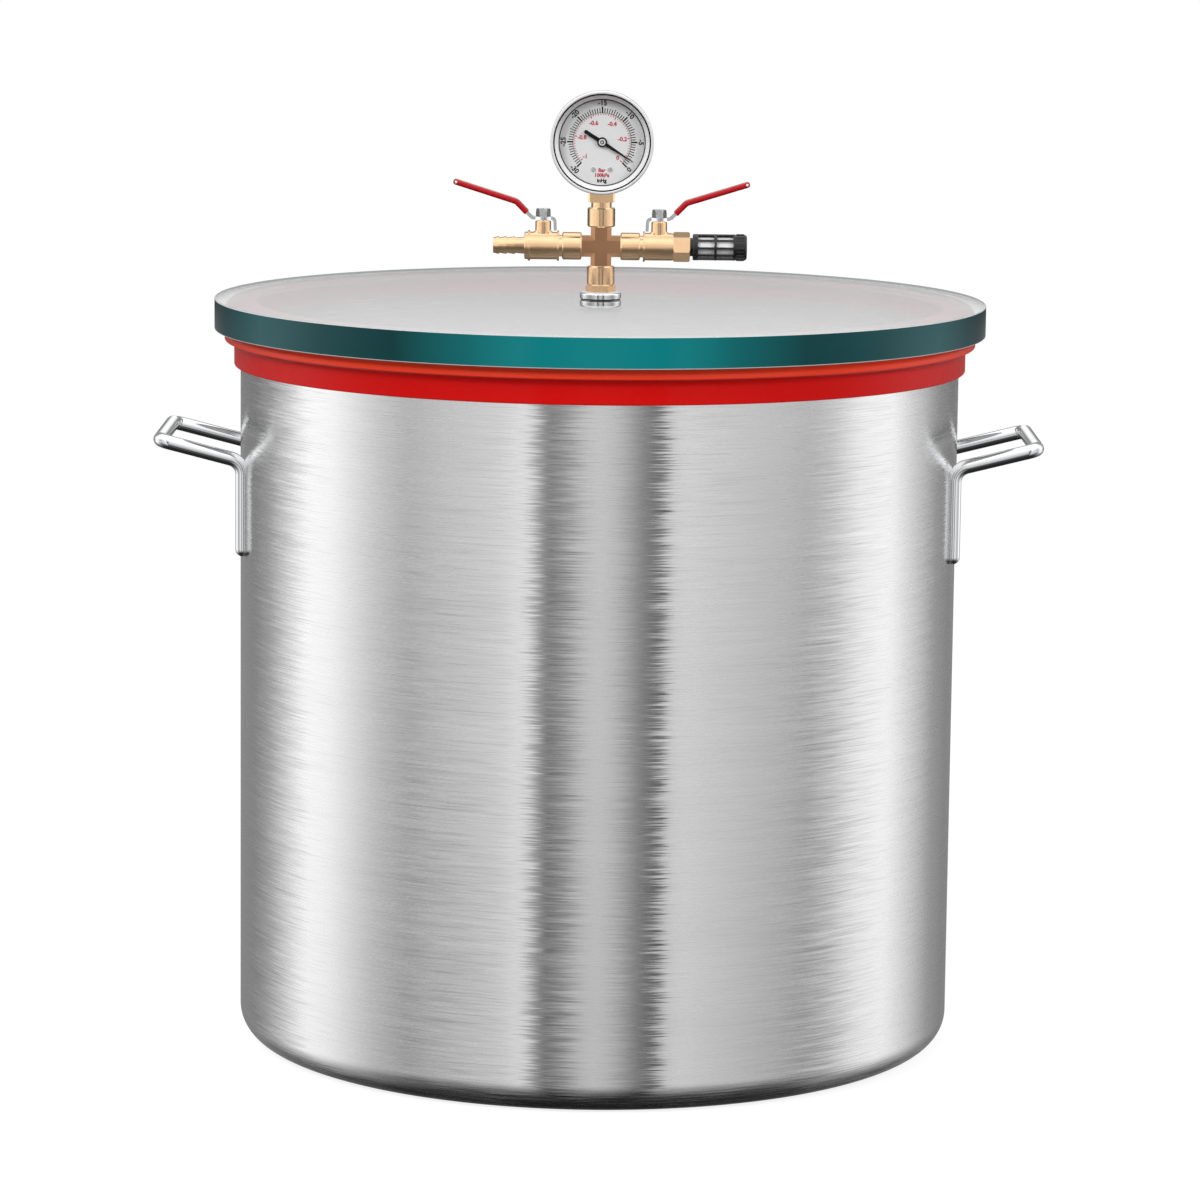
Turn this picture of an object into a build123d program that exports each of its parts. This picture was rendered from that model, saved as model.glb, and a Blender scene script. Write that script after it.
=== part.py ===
"""Vacuum chamber: a stainless pot under a glass lid, with a brass manifold on the lid.

Millimetres, +Z up, origin at the centre of the pot's underside.
The front of the chamber, and the gauge's dial, face -Y.
"""
from build123d import *
import os
from math import atan2, cos, degrees, pi, radians, sin, sqrt, tan

# ---------------------------------------------------------------- driving dimensions
# Pot
POT_RADIUS = 225.0
POT_WALL = 2.0
POT_HEIGHT = 446.0
POT_CORNER = 19.0

# Gasket: a lipped ring that hangs over the pot's rim
PAD_THICKNESS = 3.4
PAD_INNER_RADIUS = 215.0
BAND_THICKNESS = 4.0
BAND_DEPTH = 19.0
INNER_SKIRT_THICKNESS = 3.5
INNER_SKIRT_DEPTH = 10.0
LIP_ROOT_DROP = 11.0
PAD_EDGE_LIFT = 0.8
BAND_EDGE = 0.6
SKIRT_TAPER = 1.2
# Points of the lip's outline: outwards from the wall and down from the lid
LIP_START = (6.0, 0.0)
LIP_SHOULDER = (6.8, 0.3)
LIP_CREST = (9.2, 2.6)
LIP_TIP = (10.0, 6.0)
LIP_TIP_UNDERSIDE = (9.4, 6.7)
LIP_TIP_INSIDE = (8.6, 6.5)
LIP_HOLLOW = (5.4, 8.0)

# Lid
LID_RADIUS = 241.3
LID_THICKNESS = 19.0
LID_EDGE = 1.2

# Handles, each one bent rod welded to the wall
ROD_RADIUS = 4.5
LEG_SPACING = 99.0
LEG_BOTTOM = 310.0
LEG_AXIS_RADIUS = 226.2
ARM_BEND_HEIGHT = 369.4
ARM_REACH = 272.0
ARM_RISE_ANGLE = 14.1
ELBOW_RADIUS = 10.0
CORNER_RADIUS = 6.0

# Threads, all plain cylinders: a socket and the stub that screws into it
SOCKET_RADIUS = 6.0
STUB_RADIUS = 5.95
STUB_LENGTH = 9.0
SMALL_SOCKET_RADIUS = 5.0
SMALL_STUB_RADIUS = 4.95
WATERWAY_RADIUS = 3.0
THREAD_RUNOUT = 0.5

# Bulkhead fitting through the middle of the lid
BULKHEAD_RADIUS = 6.5
BULKHEAD_CLEARANCE = 0.3
FLANGE_RADIUS = 13.0
FLANGE_THICKNESS = 3.8
WASHER_THICKNESS = 0.8
WASHER_SETBACK = 0.6
NUT_RADIUS = 12.0
NUT_HEIGHT = 10.5
NUT_FLANGE_HEIGHT = 2.8
FLANGE_EDGE = 1.5
NUT_EDGE = 0.8
STEM_SHOWING = 1.5

# Brass manifold
HEX_FLATS = 16.4
RISER_HEX_HEIGHT = 4.3
CROSS_HALF_SPAN = 24.3
CROSS_COLLAR_RADIUS = 8.65
CROSS_COLLAR_LENGTH = 12.1
CROSS_ARM_WIDTH = 13.0
CROSS_ARM_CHAMFER = 2.65
COLLAR_EDGE = 0.7

# Ball valves
VALVE_OFFSET = 36.3
VALVE_RADIUS = 8.65
VALVE_RING_RADIUS = 9.65
VALVE_NECK_RADIUS = 6.8
VALVE_NECK_END = 26.3
VALVE_RING_END = 27.4
VALVE_RING_EDGE = 0.3
VALVE_END = 44.4
TOWER_RADIUS = 4.9
TOWER_HEIGHT = 15.6
TOWER_ROOT_FILLET = 1.4
TOWER_EDGE = 0.4
CHAMBER_RADIUS = 5.6
CHAMBER_START = 30.6
BALL_RADIUS = 5.0
BALL_BORE_RADIUS = 2.8
SEAT_LENGTH = 2.4
SEAT_CLEARANCE = 0.08
STEM_RADIUS = 2.3
STEM_COLLAR_RADIUS = 3.0
STEM_COLLAR_HEIGHT = 1.5
STEM_END_RADIUS = 1.95
RUNNING_CLEARANCE = 0.05
PACKING_RADIUS = 3.6
PACKING_WELL = 3.8
PACKING_HEIGHT = 3.2
BALL_SLOT_DEPTH = 1.4
BALL_SLOT_WIDTH = 2.0
END_PLAY = 0.1

# Levers
LEVER_GAP = 0.8
LEVER_THICKNESS = 1.8
LEVER_WIDTH = 8.0
LEVER_HUB_RADIUS = 6.2
LEVER_TIP_X = 88.0
LEVER_TAB_OFFSET = 7.2
LEVER_TAB_WIDTH = 6.4
LEVER_TAB_DROP = 7.6
LEVER_TAB_LEAN = 0.4
LEVER_TAB_BEND = 2.6
CRANK_START_X = 43.2
CRANK_END_X = 53.2
CRANK_RISE = 10.2
CRANK_FOOT_RADIUS = 4.5
CRANK_RADIUS = 5.5
GRIP_START_X = 46.6
GRIP_TIP_X = 91.0
GRIP_TIP_RISE = 22.0
GRIP_THICKNESS = 3.4
GRIP_WIDTH = 10.4
GRIP_EDGE = 1.5
GRIP_EYE_RADIUS = 0.9
LEVER_NUT_FLATS = 8.0
LEVER_NUT_HEIGHT = 5.0
LEVER_NUT_TAPER = 8.0
LEVER_NUT_CROWN_RADIUS = 5.0
STEM_TIP_RECESS = 0.4

# Hose barb: where each rib ends, from the valve to the tail
BARB_RIB_ENDS = (47.9, 53.9, 59.1, 63.8, 67.5)
BARB_CREST = 5.6
BARB_FIRST_CREST = 5.3
BARB_ROOT = 4.8
BARB_FLANGE_WIDTH = 1.3
BARB_COLLAR_EDGE = 0.5

# Right valve's hex end
HEX_END = 55.6
HEX_TURN = 17.0
HEX_EDGE = 0.8
HEX_SHOULDER_RADIUS = 8.35

# Gauge
GAUGE_HEIGHT_ABOVE_PIPE = 65.4
BEZEL_RADIUS = 32.25
BEZEL_SIGHT_RADIUS = 26.6
BEZEL_FRONT = -16.5
BEZEL_BACK = -7.2
BEZEL_ROLL = 1.6
BEVEL_START = 0.3
BEVEL_LAND = 0.5
GROOVE_OUTSIDE = 30.4
GROOVE_INSIDE = 29.5
GROOVE_DEPTH = 1.6
GROOVE_LIP = 0.1
CASE_RADIUS = 30.5
CASE_WALL = 0.8
CASE_FRONT = -9.0
CASE_BACK = 14.0
CASE_EDGE = 2.0
CASE_FLANGE_WIDTH = 0.7
CASE_FLANGE_THICKNESS = 1.0
CASE_NECK_CLEARANCE = 0.1
LENS_THICKNESS = 1.5
LENS_SEAL_THICKNESS = 1.2
LENS_SEAL_INSIDE = 29.1
DIAL_RADIUS = 29.0
DIAL_FRONT = -6.8
DIAL_THICKNESS = 0.6
POINTER_TIP = 22.7
POINTER_TAIL = 11.8
POINTER_REST_ANGLE = -32.0
POINTER_FRONT = -8.7
POINTER_THICKNESS = 0.5
POINTER_HUB_RADIUS = 3.1
POINTER_BOSS_RADIUS = 1.9
POINTER_HALF_WIDTH = 1.25
POINTER_TAIL_HALF_WIDTH = 1.1
POINTER_TIP_HALF_WIDTH = 0.18
POINTER_BOSS_GAP = 0.4
DIAL_SCREW_X = 5.2
DIAL_SCREW_DROP = 17.0
DIAL_SCREW_RADIUS = 1.4
DIAL_SCREW_HEIGHT = 0.7
DIAL_SCREW_SHANK = 0.7

# Gauge's socket and Bourdon tube
BLOCK_HALF_WIDTH = 8.4
BLOCK_HALF_DEPTH = 7.0
BLOCK_NECK = 3.4
BLOCK_NECK_RADIUS = 6.35
BLOCK_HEIGHT = 10.0
BLOCK_TOP_RADIUS = 5.0
BLOCK_EDGE = 1.2
TUBE_RADIUS = 22.0
TUBE_Y = 6.6
TUBE_HALF_DEPTH = 3.0
TUBE_HALF_THICKNESS = 1.1
TUBE_ARC = 265.0
INNER_BLOCK_FRONT = -4.0
INNER_BLOCK_BACK = 10.6
INNER_BLOCK_DROP = 26.5
INNER_BLOCK_HEIGHT = 9.5
INNER_BLOCK_WIDTH = 12.0
GAUGE_WATERWAY_RADIUS = 1.5

# Gauge's movement: a toothed sector below the pointer's shaft drives the pinion cut on it
PLATE_THICKNESS = 0.9
PLATE_WIDTH = 16.0
PLATE_TOP = 8.5
PLATE_CORNER = 2.0
FRONT_PLATE_BOTTOM = -19.5
BACK_PLATE_BOTTOM = -16.3
BACK_PLATE_FRONT = 1.2
PILLAR_RADIUS = 1.1
PILLAR_PLACES = ((-6.0, 6.0), (6.0, 6.0), (-6.6, -14.8), (6.6, -14.8))
SHAFT_RADIUS = 0.8
GEAR_CENTRES = 11.0
GEAR_MODULE = 0.3
PINION_TEETH = 11
PINION_OVERHANG = 0.4
SECTOR_TEETH = 12
TEETH_BEFORE_MESH = 1.5
TOOTH_ADDENDUM = 0.21
TOOTH_DEDENDUM = 0.27
TOOTH_BACKLASH = 0.1
TOOTH_FLANK_ANGLE = 20.0
SECTOR_BACK = -1.0
SECTOR_THICKNESS = 1.0
SECTOR_RIM = 1.5
SECTOR_HUB_RADIUS = 2.0
TAIL_LENGTH = 4.5
TAIL_ANGLE = 30.0
TAIL_WIDTH = 2.6
LINK_BACK = -0.2
LINK_THICKNESS = 0.6
LINK_WIDTH = 1.8
LINK_PIN_RADIUS = 0.45
TUBE_EAR_FRONT = 0.3
TUBE_EAR_LENGTH = 3.2

# Muffler
MUFFLER_RADIUS = 8.25
MUFFLER_START = 57.4
MUFFLER_CAGE_END = 83.8
MUFFLER_END = 91.2
MUFFLER_NECK_RADIUS = 5.75
MUFFLER_STUB_LENGTH = 8.0
MUFFLER_FLOOR = 1.5
MUFFLER_EDGE = 0.5
MUFFLER_BORE_RADIUS = 6.6
ELEMENT_CLEARANCE = 0.6
WINDOW_ROWS = 10
WINDOW_ANGLE = 27.0
WINDOW_COLUMNS = ((60.6, 70.9), (72.2, 82.7))
WINDOW_CORNER = 0.8
CAP_RADIUS = 7.95
CAP_EDGE = 0.9
CAP_RIDGES = 20
CAP_RIDGE_START = 0.8
CAP_RIDGE_LENGTH = 5.0
CAP_RIDGE_HEIGHT = 1.0
CAP_RIDGE_WIDTH = 0.7

# ---------------------------------------------------------------- derived heights
LID_BOTTOM = POT_HEIGHT + PAD_THICKNESS
LID_TOP = LID_BOTTOM + LID_THICKNESS
FLANGE_TOP = LID_TOP + WASHER_THICKNESS + FLANGE_THICKNESS
CROSS_BOTTOM = FLANGE_TOP + RISER_HEX_HEIGHT
PIPE_Z = CROSS_BOTTOM + CROSS_HALF_SPAN
CROSS_TOP = PIPE_Z + CROSS_HALF_SPAN
GAUGE_Z = PIPE_Z + GAUGE_HEIGHT_ABOVE_PIPE
TOWER_TOP = PIPE_Z + TOWER_HEIGHT
LEVER_BOTTOM = TOWER_TOP + LEVER_GAP
LEVER_TOP = LEVER_BOTTOM + LEVER_THICKNESS

# Working planes and turning axes
PIPE_PLANE = Plane(origin=(0, 0, PIPE_Z), x_dir=(1, 0, 0), z_dir=(0, -1, 0))
PIPE_AXIS = Axis((0, 0, PIPE_Z), (1, 0, 0))
GAUGE_SECTION = Plane(origin=(0, 0, GAUGE_Z), x_dir=(1, 0, 0), z_dir=(0, 0, 1))
GAUGE_AXIS = Axis((0, 0, GAUGE_Z), (0, 1, 0))

os.makedirs("parts", exist_ok=True)


def outline(plane, *points):
    """Return a closed face on a plane from its corner points."""
    with BuildSketch(plane) as face:
        with BuildLine():
            Polyline(*points, close=True)
        make_face()
    return face.sketch


def pipe_plane_at(x):
    """Return the plane square to the pipe at x, facing outwards along +X."""
    return Plane(origin=(x, 0, PIPE_Z), x_dir=(0, 1, 0), z_dir=(1, 0, 0))


def gauge_plane_at(y):
    """Return the plane square to the gauge's axis at y, facing the front."""
    return Plane(origin=(0, y, GAUGE_Z), x_dir=(1, 0, 0), z_dir=(0, -1, 0))


def stem_plane_at(z):
    """Return the level plane centred on the right valve's stem."""
    return Plane(origin=(VALVE_OFFSET, 0, z), x_dir=(1, 0, 0), z_dir=(0, 0, 1))


# ---------------------------------------------------------------- pot
# A deep-drawn cup: one wall thickness, a large bottom corner and an open top.
with BuildPart() as pot_body:
    with BuildSketch(Plane.XY):
        Circle(POT_RADIUS)
    extrude(amount=POT_HEIGHT)
    fillet(pot_body.edges().group_by(Axis.Z)[0], radius=POT_CORNER)
    mouth = pot_body.faces().sort_by(Axis.Z)[-1]
    offset(amount=-POT_WALL, openings=mouth)
pot_body.part.label = "pot_body"
export_step(pot_body.part, "parts/pot_body.step")


# ---------------------------------------------------------------- handles
# Two legs up the wall, an elbow into two rising arms, and a cross bar with tight corners.
leg_y = LEG_SPACING / 2
leg_x = sqrt(LEG_AXIS_RADIUS**2 - leg_y**2)
arm_end_height = ARM_BEND_HEIGHT + (ARM_REACH - leg_x) * tan(radians(ARM_RISE_ANGLE))
with BuildPart() as handle_right:
    with BuildLine() as rod_path:
        FilletPolyline(
            (leg_x, -leg_y, LEG_BOTTOM + ROD_RADIUS),
            (leg_x, -leg_y, ARM_BEND_HEIGHT),
            (ARM_REACH, -leg_y, arm_end_height),
            (ARM_REACH, leg_y, arm_end_height),
            (leg_x, leg_y, ARM_BEND_HEIGHT),
            (leg_x, leg_y, LEG_BOTTOM + ROD_RADIUS),
            radius=[ELBOW_RADIUS, CORNER_RADIUS, CORNER_RADIUS, ELBOW_RADIUS],
        )
    with BuildSketch(Plane(origin=rod_path.line @ 0, z_dir=rod_path.line % 0)):
        Circle(ROD_RADIUS)
    sweep(path=rod_path.line)
    with Locations(rod_path.line @ 0, rod_path.line @ 1):
        Sphere(ROD_RADIUS)
    # The legs are pressed flat where they are welded, to the curve of the wall.
    with BuildSketch(Plane.XY.offset(LEG_BOTTOM - ROD_RADIUS)):
        Circle(POT_RADIUS)
    extrude(amount=POT_HEIGHT - LEG_BOTTOM, mode=Mode.SUBTRACT)
handle_right.part.label = "handle_right"
export_step(handle_right.part, "parts/handle_right.step")

with BuildPart() as handle_left:
    mirror(handle_right.part, about=Plane.YZ)
handle_left.part.label = "handle_left"
export_step(handle_left.part, "parts/handle_left.step")


# ---------------------------------------------------------------- gasket
# Pad under the lid, a drooping lip outside it, and a skirt each side of the pot's wall.
pot_inside = POT_RADIUS - POT_WALL
band_outside = POT_RADIUS + BAND_THICKNESS
skirt_inside = pot_inside - INNER_SKIRT_THICKNESS


def lip_point(place):
    """Return a point of the lip's outline from its place outwards of the wall and below the lid."""
    outwards, down = place
    return (POT_RADIUS + outwards, LID_BOTTOM - down)


with BuildPart() as lid_gasket:
    with BuildSketch(Plane.XZ):
        with BuildLine():
            Polyline(
                (PAD_INNER_RADIUS, POT_HEIGHT + PAD_EDGE_LIFT),
                (PAD_INNER_RADIUS, LID_BOTTOM),
                lip_point(LIP_START),
                lip_point(LIP_SHOULDER),
            )
            ThreePointArc(lip_point(LIP_SHOULDER), lip_point(LIP_CREST), lip_point(LIP_TIP))
            ThreePointArc(
                lip_point(LIP_TIP),
                lip_point(LIP_TIP_UNDERSIDE),
                lip_point(LIP_TIP_INSIDE),
            )
            ThreePointArc(
                lip_point(LIP_TIP_INSIDE),
                lip_point(LIP_HOLLOW),
                (band_outside, LID_BOTTOM - LIP_ROOT_DROP),
            )
            Polyline(
                (band_outside, LID_BOTTOM - LIP_ROOT_DROP),
                (band_outside, POT_HEIGHT - BAND_DEPTH + BAND_EDGE),
                (band_outside - BAND_EDGE, POT_HEIGHT - BAND_DEPTH),
                (POT_RADIUS, POT_HEIGHT - BAND_DEPTH),
                (POT_RADIUS, POT_HEIGHT),
                (pot_inside, POT_HEIGHT),
                (pot_inside, POT_HEIGHT - INNER_SKIRT_DEPTH),
                (skirt_inside + SKIRT_TAPER, POT_HEIGHT - INNER_SKIRT_DEPTH),
                (skirt_inside, POT_HEIGHT),
                (PAD_INNER_RADIUS, POT_HEIGHT + PAD_EDGE_LIFT),
            )
        make_face()
    revolve(axis=Axis.Z)
lid_gasket.part.label = "lid_gasket"
export_step(lid_gasket.part, "parts/lid_gasket.step")


# ---------------------------------------------------------------- lid
with BuildPart() as lid_plate:
    with BuildSketch(Plane.XY.offset(LID_BOTTOM)):
        Circle(LID_RADIUS)
        Circle(BULKHEAD_RADIUS + BULKHEAD_CLEARANCE, mode=Mode.SUBTRACT)
    extrude(amount=LID_THICKNESS)
    rim_edges = lid_plate.edges().filter_by(GeomType.CIRCLE).sort_by(SortBy.RADIUS)[-2:]
    chamfer(rim_edges, length=LID_EDGE)
lid_plate.part.label = "lid_plate"
export_step(lid_plate.part, "parts/lid_plate.step")


# ---------------------------------------------------------------- bulkhead fitting
seal_top = LID_TOP + WASHER_THICKNESS
nut_total = 2 * (NUT_HEIGHT + NUT_FLANGE_HEIGHT)
stem_bottom = LID_BOTTOM - nut_total - STEM_SHOWING
with BuildPart() as bulkhead_seal:
    with BuildSketch(Plane.XY.offset(LID_TOP)):
        Circle(FLANGE_RADIUS - WASHER_SETBACK)
        Circle(BULKHEAD_RADIUS, mode=Mode.SUBTRACT)
    extrude(amount=WASHER_THICKNESS)
bulkhead_seal.part.label = "bulkhead_seal"
export_step(bulkhead_seal.part, "parts/bulkhead_seal.step")

with BuildPart() as bulkhead_body:
    with BuildSketch(Plane.XY.offset(stem_bottom)):
        Circle(BULKHEAD_RADIUS)
    extrude(amount=seal_top - stem_bottom)
    with BuildSketch(Plane.XY.offset(seal_top)):
        Circle(FLANGE_RADIUS)
    extrude(amount=FLANGE_THICKNESS)
    fillet(bulkhead_body.edges().group_by(Axis.Z)[-1], radius=FLANGE_EDGE)
    with Locations((0, 0, FLANGE_TOP)):
        CounterBoreHole(
            radius=WATERWAY_RADIUS,
            counter_bore_radius=SMALL_SOCKET_RADIUS,
            counter_bore_depth=STUB_LENGTH + THREAD_RUNOUT,
        )
bulkhead_body.part.label = "bulkhead_body"
export_step(bulkhead_body.part, "parts/bulkhead_body.step")

# Two round flanged nuts, run up flange to flange under the lid.
nut_step = NUT_HEIGHT + NUT_FLANGE_HEIGHT
with BuildPart() as bulkhead_nut:
    with BuildSketch(Plane.XY.offset(LID_BOTTOM - nut_step)):
        Circle(FLANGE_RADIUS)
    extrude(amount=NUT_FLANGE_HEIGHT)
    with BuildSketch(Plane.XY.offset(LID_BOTTOM - NUT_HEIGHT)):
        Circle(NUT_RADIUS)
    extrude(amount=NUT_HEIGHT)
    fillet(bulkhead_nut.edges().group_by(Axis.Z)[0], radius=NUT_EDGE)
    with BuildSketch(Plane.XY.offset(LID_BOTTOM - nut_step)):
        Circle(BULKHEAD_RADIUS + RUNNING_CLEARANCE)
    extrude(amount=nut_step, mode=Mode.SUBTRACT)
bulkhead_nut.part.label = "bulkhead_nut"
export_step(bulkhead_nut.part, "parts/bulkhead_nut.step")

with BuildPart() as bulkhead_lock_nut:
    mirror(bulkhead_nut.part, about=Plane.XY.offset(LID_BOTTOM - nut_step))
bulkhead_lock_nut.part.label = "bulkhead_lock_nut"
export_step(bulkhead_lock_nut.part, "parts/bulkhead_lock_nut.step")


# ---------------------------------------------------------------- riser and cross
with BuildPart() as riser_nipple:
    with BuildSketch(Plane.XY.offset(FLANGE_TOP)):
        RegularPolygon(HEX_FLATS / 2, 6, major_radius=False)
    extrude(amount=RISER_HEX_HEIGHT)
    with BuildSketch(Plane.XY.offset(FLANGE_TOP - STUB_LENGTH)):
        Circle(SMALL_STUB_RADIUS)
    extrude(amount=STUB_LENGTH)
    with BuildSketch(Plane.XY.offset(CROSS_BOTTOM)):
        Circle(STUB_RADIUS)
    extrude(amount=STUB_LENGTH)
    with BuildSketch(Plane.XY.offset(FLANGE_TOP - STUB_LENGTH)):
        Circle(WATERWAY_RADIUS)
    extrude(amount=2 * STUB_LENGTH + RISER_HEX_HEIGHT, mode=Mode.SUBTRACT)
riser_nipple.part.label = "riser_nipple"
export_step(riser_nipple.part, "parts/riser_nipple.step")

# Four collars on two crossed square bars with broken corners.
collar_start = CROSS_HALF_SPAN - CROSS_COLLAR_LENGTH
with BuildPart() as cross_fitting:
    for arm_plane in (Plane.XY.offset(PIPE_Z), pipe_plane_at(0)):
        with BuildSketch(arm_plane):
            Rectangle(CROSS_ARM_WIDTH, CROSS_ARM_WIDTH)
            chamfer(vertices(), length=CROSS_ARM_CHAMFER)
        extrude(amount=collar_start + THREAD_RUNOUT, both=True)
    collar_planes = [
        Plane(origin=(0, 0, PIPE_Z), x_dir=(0, 1, 0), z_dir=direction).offset(collar_start)
        for direction in ((0, 0, 1), (0, 0, -1), (1, 0, 0), (-1, 0, 0))
    ]
    for collar_plane in collar_planes:
        with BuildSketch(collar_plane):
            Circle(CROSS_COLLAR_RADIUS)
        extrude(amount=CROSS_COLLAR_LENGTH)
    chamfer(cross_fitting.edges().filter_by(GeomType.CIRCLE), length=COLLAR_EDGE)
    for collar_plane in collar_planes:
        with BuildSketch(collar_plane.offset(CROSS_COLLAR_LENGTH)):
            Circle(SOCKET_RADIUS)
        extrude(amount=-STUB_LENGTH - THREAD_RUNOUT, mode=Mode.SUBTRACT)
    for arm_plane in (Plane.XY.offset(PIPE_Z), pipe_plane_at(0)):
        with BuildSketch(arm_plane):
            Circle(WATERWAY_RADIUS)
        extrude(amount=CROSS_HALF_SPAN, both=True, mode=Mode.SUBTRACT)
cross_fitting.part.label = "cross_fitting"
export_step(cross_fitting.part, "parts/cross_fitting.step")


# ---------------------------------------------------------------- ball valves
# Every valve piece is made for the right-hand valve and mirrored for the left-hand one.
chamber_end = 2 * VALVE_OFFSET - CHAMBER_START
with BuildPart() as valve_blank:
    revolve(
        outline(
            PIPE_PLANE,
            (CROSS_HALF_SPAN - STUB_LENGTH, 0),
            (CROSS_HALF_SPAN - STUB_LENGTH, STUB_RADIUS),
            (CROSS_HALF_SPAN, STUB_RADIUS),
            (CROSS_HALF_SPAN, VALVE_NECK_RADIUS),
            (VALVE_NECK_END, VALVE_NECK_RADIUS),
            (VALVE_NECK_END, VALVE_RING_RADIUS - VALVE_RING_EDGE),
            (VALVE_NECK_END + VALVE_RING_EDGE, VALVE_RING_RADIUS),
            (VALVE_RING_END - VALVE_RING_EDGE, VALVE_RING_RADIUS),
            (VALVE_RING_END, VALVE_RING_RADIUS - VALVE_RING_EDGE),
            (VALVE_RING_END, VALVE_RADIUS),
            (VALVE_END, VALVE_RADIUS),
            (VALVE_END, 0),
        ),
        axis=PIPE_AXIS,
    )
    with BuildSketch(stem_plane_at(PIPE_Z)):
        Circle(TOWER_RADIUS)
    extrude(amount=TOWER_HEIGHT)
    tower_root = valve_blank.edges().filter_by(
        lambda edge: edge.geom_type not in (GeomType.CIRCLE, GeomType.LINE)
    )
    fillet(tower_root, radius=TOWER_ROOT_FILLET)
    tower_rim = valve_blank.edges().group_by(Axis.Z)[-1]
    chamfer(tower_rim, length=TOWER_EDGE)
    # Waterway, ball chamber, stem hole, stem collar's recess and packing well
    with BuildSketch(pipe_plane_at(CROSS_HALF_SPAN - STUB_LENGTH)):
        Circle(WATERWAY_RADIUS)
    extrude(amount=VALVE_OFFSET, mode=Mode.SUBTRACT)
    with BuildSketch(pipe_plane_at(CHAMBER_START)):
        Circle(CHAMBER_RADIUS)
    extrude(amount=VALVE_END - CHAMBER_START, mode=Mode.SUBTRACT)
    with BuildSketch(stem_plane_at(PIPE_Z)):
        Circle(STEM_RADIUS + RUNNING_CLEARANCE)
    extrude(amount=TOWER_HEIGHT, mode=Mode.SUBTRACT)
    with BuildSketch(stem_plane_at(PIPE_Z)):
        Circle(STEM_COLLAR_RADIUS + 2 * RUNNING_CLEARANCE)
    extrude(amount=BALL_RADIUS + STEM_COLLAR_HEIGHT + 3 * END_PLAY, mode=Mode.SUBTRACT)
    with BuildSketch(stem_plane_at(TOWER_TOP - PACKING_WELL)):
        Circle(PACKING_RADIUS)
    extrude(amount=PACKING_WELL, mode=Mode.SUBTRACT)

# Two rings, each hollowed to the ball's curve
with BuildPart() as seats_blank:
    with BuildSketch(PIPE_PLANE):
        for seat_start in (CHAMBER_START, chamber_end - SEAT_LENGTH):
            with Locations((seat_start, WATERWAY_RADIUS)):
                Rectangle(
                    SEAT_LENGTH,
                    CHAMBER_RADIUS - WATERWAY_RADIUS,
                    align=(Align.MIN, Align.MIN),
                )
        with Locations((VALVE_OFFSET, 0)):
            Circle(BALL_RADIUS + SEAT_CLEARANCE, mode=Mode.SUBTRACT)
    revolve(axis=PIPE_AXIS)

ball_top = PIPE_Z + BALL_RADIUS
with BuildPart() as ball_blank:
    with Locations((VALVE_OFFSET, 0, PIPE_Z)):
        Sphere(BALL_RADIUS)
    with BuildSketch(pipe_plane_at(VALVE_OFFSET)):
        Circle(BALL_BORE_RADIUS)
    extrude(amount=BALL_RADIUS, both=True, mode=Mode.SUBTRACT)
    with BuildSketch(stem_plane_at(ball_top - BALL_SLOT_DEPTH)):
        Rectangle(BALL_SLOT_WIDTH, 2 * BALL_RADIUS)
    extrude(amount=BALL_SLOT_DEPTH, mode=Mode.SUBTRACT)

stem_collar_bottom = ball_top + END_PLAY
with BuildPart() as stem_blank:
    with BuildSketch(stem_plane_at(ball_top - BALL_SLOT_DEPTH)):
        Rectangle(BALL_SLOT_WIDTH, 2 * STEM_RADIUS)
    extrude(amount=BALL_SLOT_DEPTH + END_PLAY)
    with BuildSketch(stem_plane_at(stem_collar_bottom)):
        Circle(STEM_COLLAR_RADIUS)
    extrude(amount=STEM_COLLAR_HEIGHT)
    with BuildSketch(stem_plane_at(stem_collar_bottom)):
        Circle(STEM_RADIUS)
    extrude(amount=LEVER_BOTTOM - stem_collar_bottom)
    with BuildSketch(stem_plane_at(LEVER_BOTTOM)):
        Circle(STEM_END_RADIUS)
    extrude(amount=LEVER_THICKNESS + LEVER_NUT_HEIGHT - STEM_TIP_RECESS)
    chamfer(stem_blank.edges().group_by(Axis.Z)[-1], length=TOWER_EDGE)

with BuildPart() as packing_blank:
    with BuildSketch(stem_plane_at(TOWER_TOP - PACKING_WELL)):
        Circle(PACKING_RADIUS)
        Circle(STEM_RADIUS + RUNNING_CLEARANCE, mode=Mode.SUBTRACT)
    extrude(amount=PACKING_HEIGHT)

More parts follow.
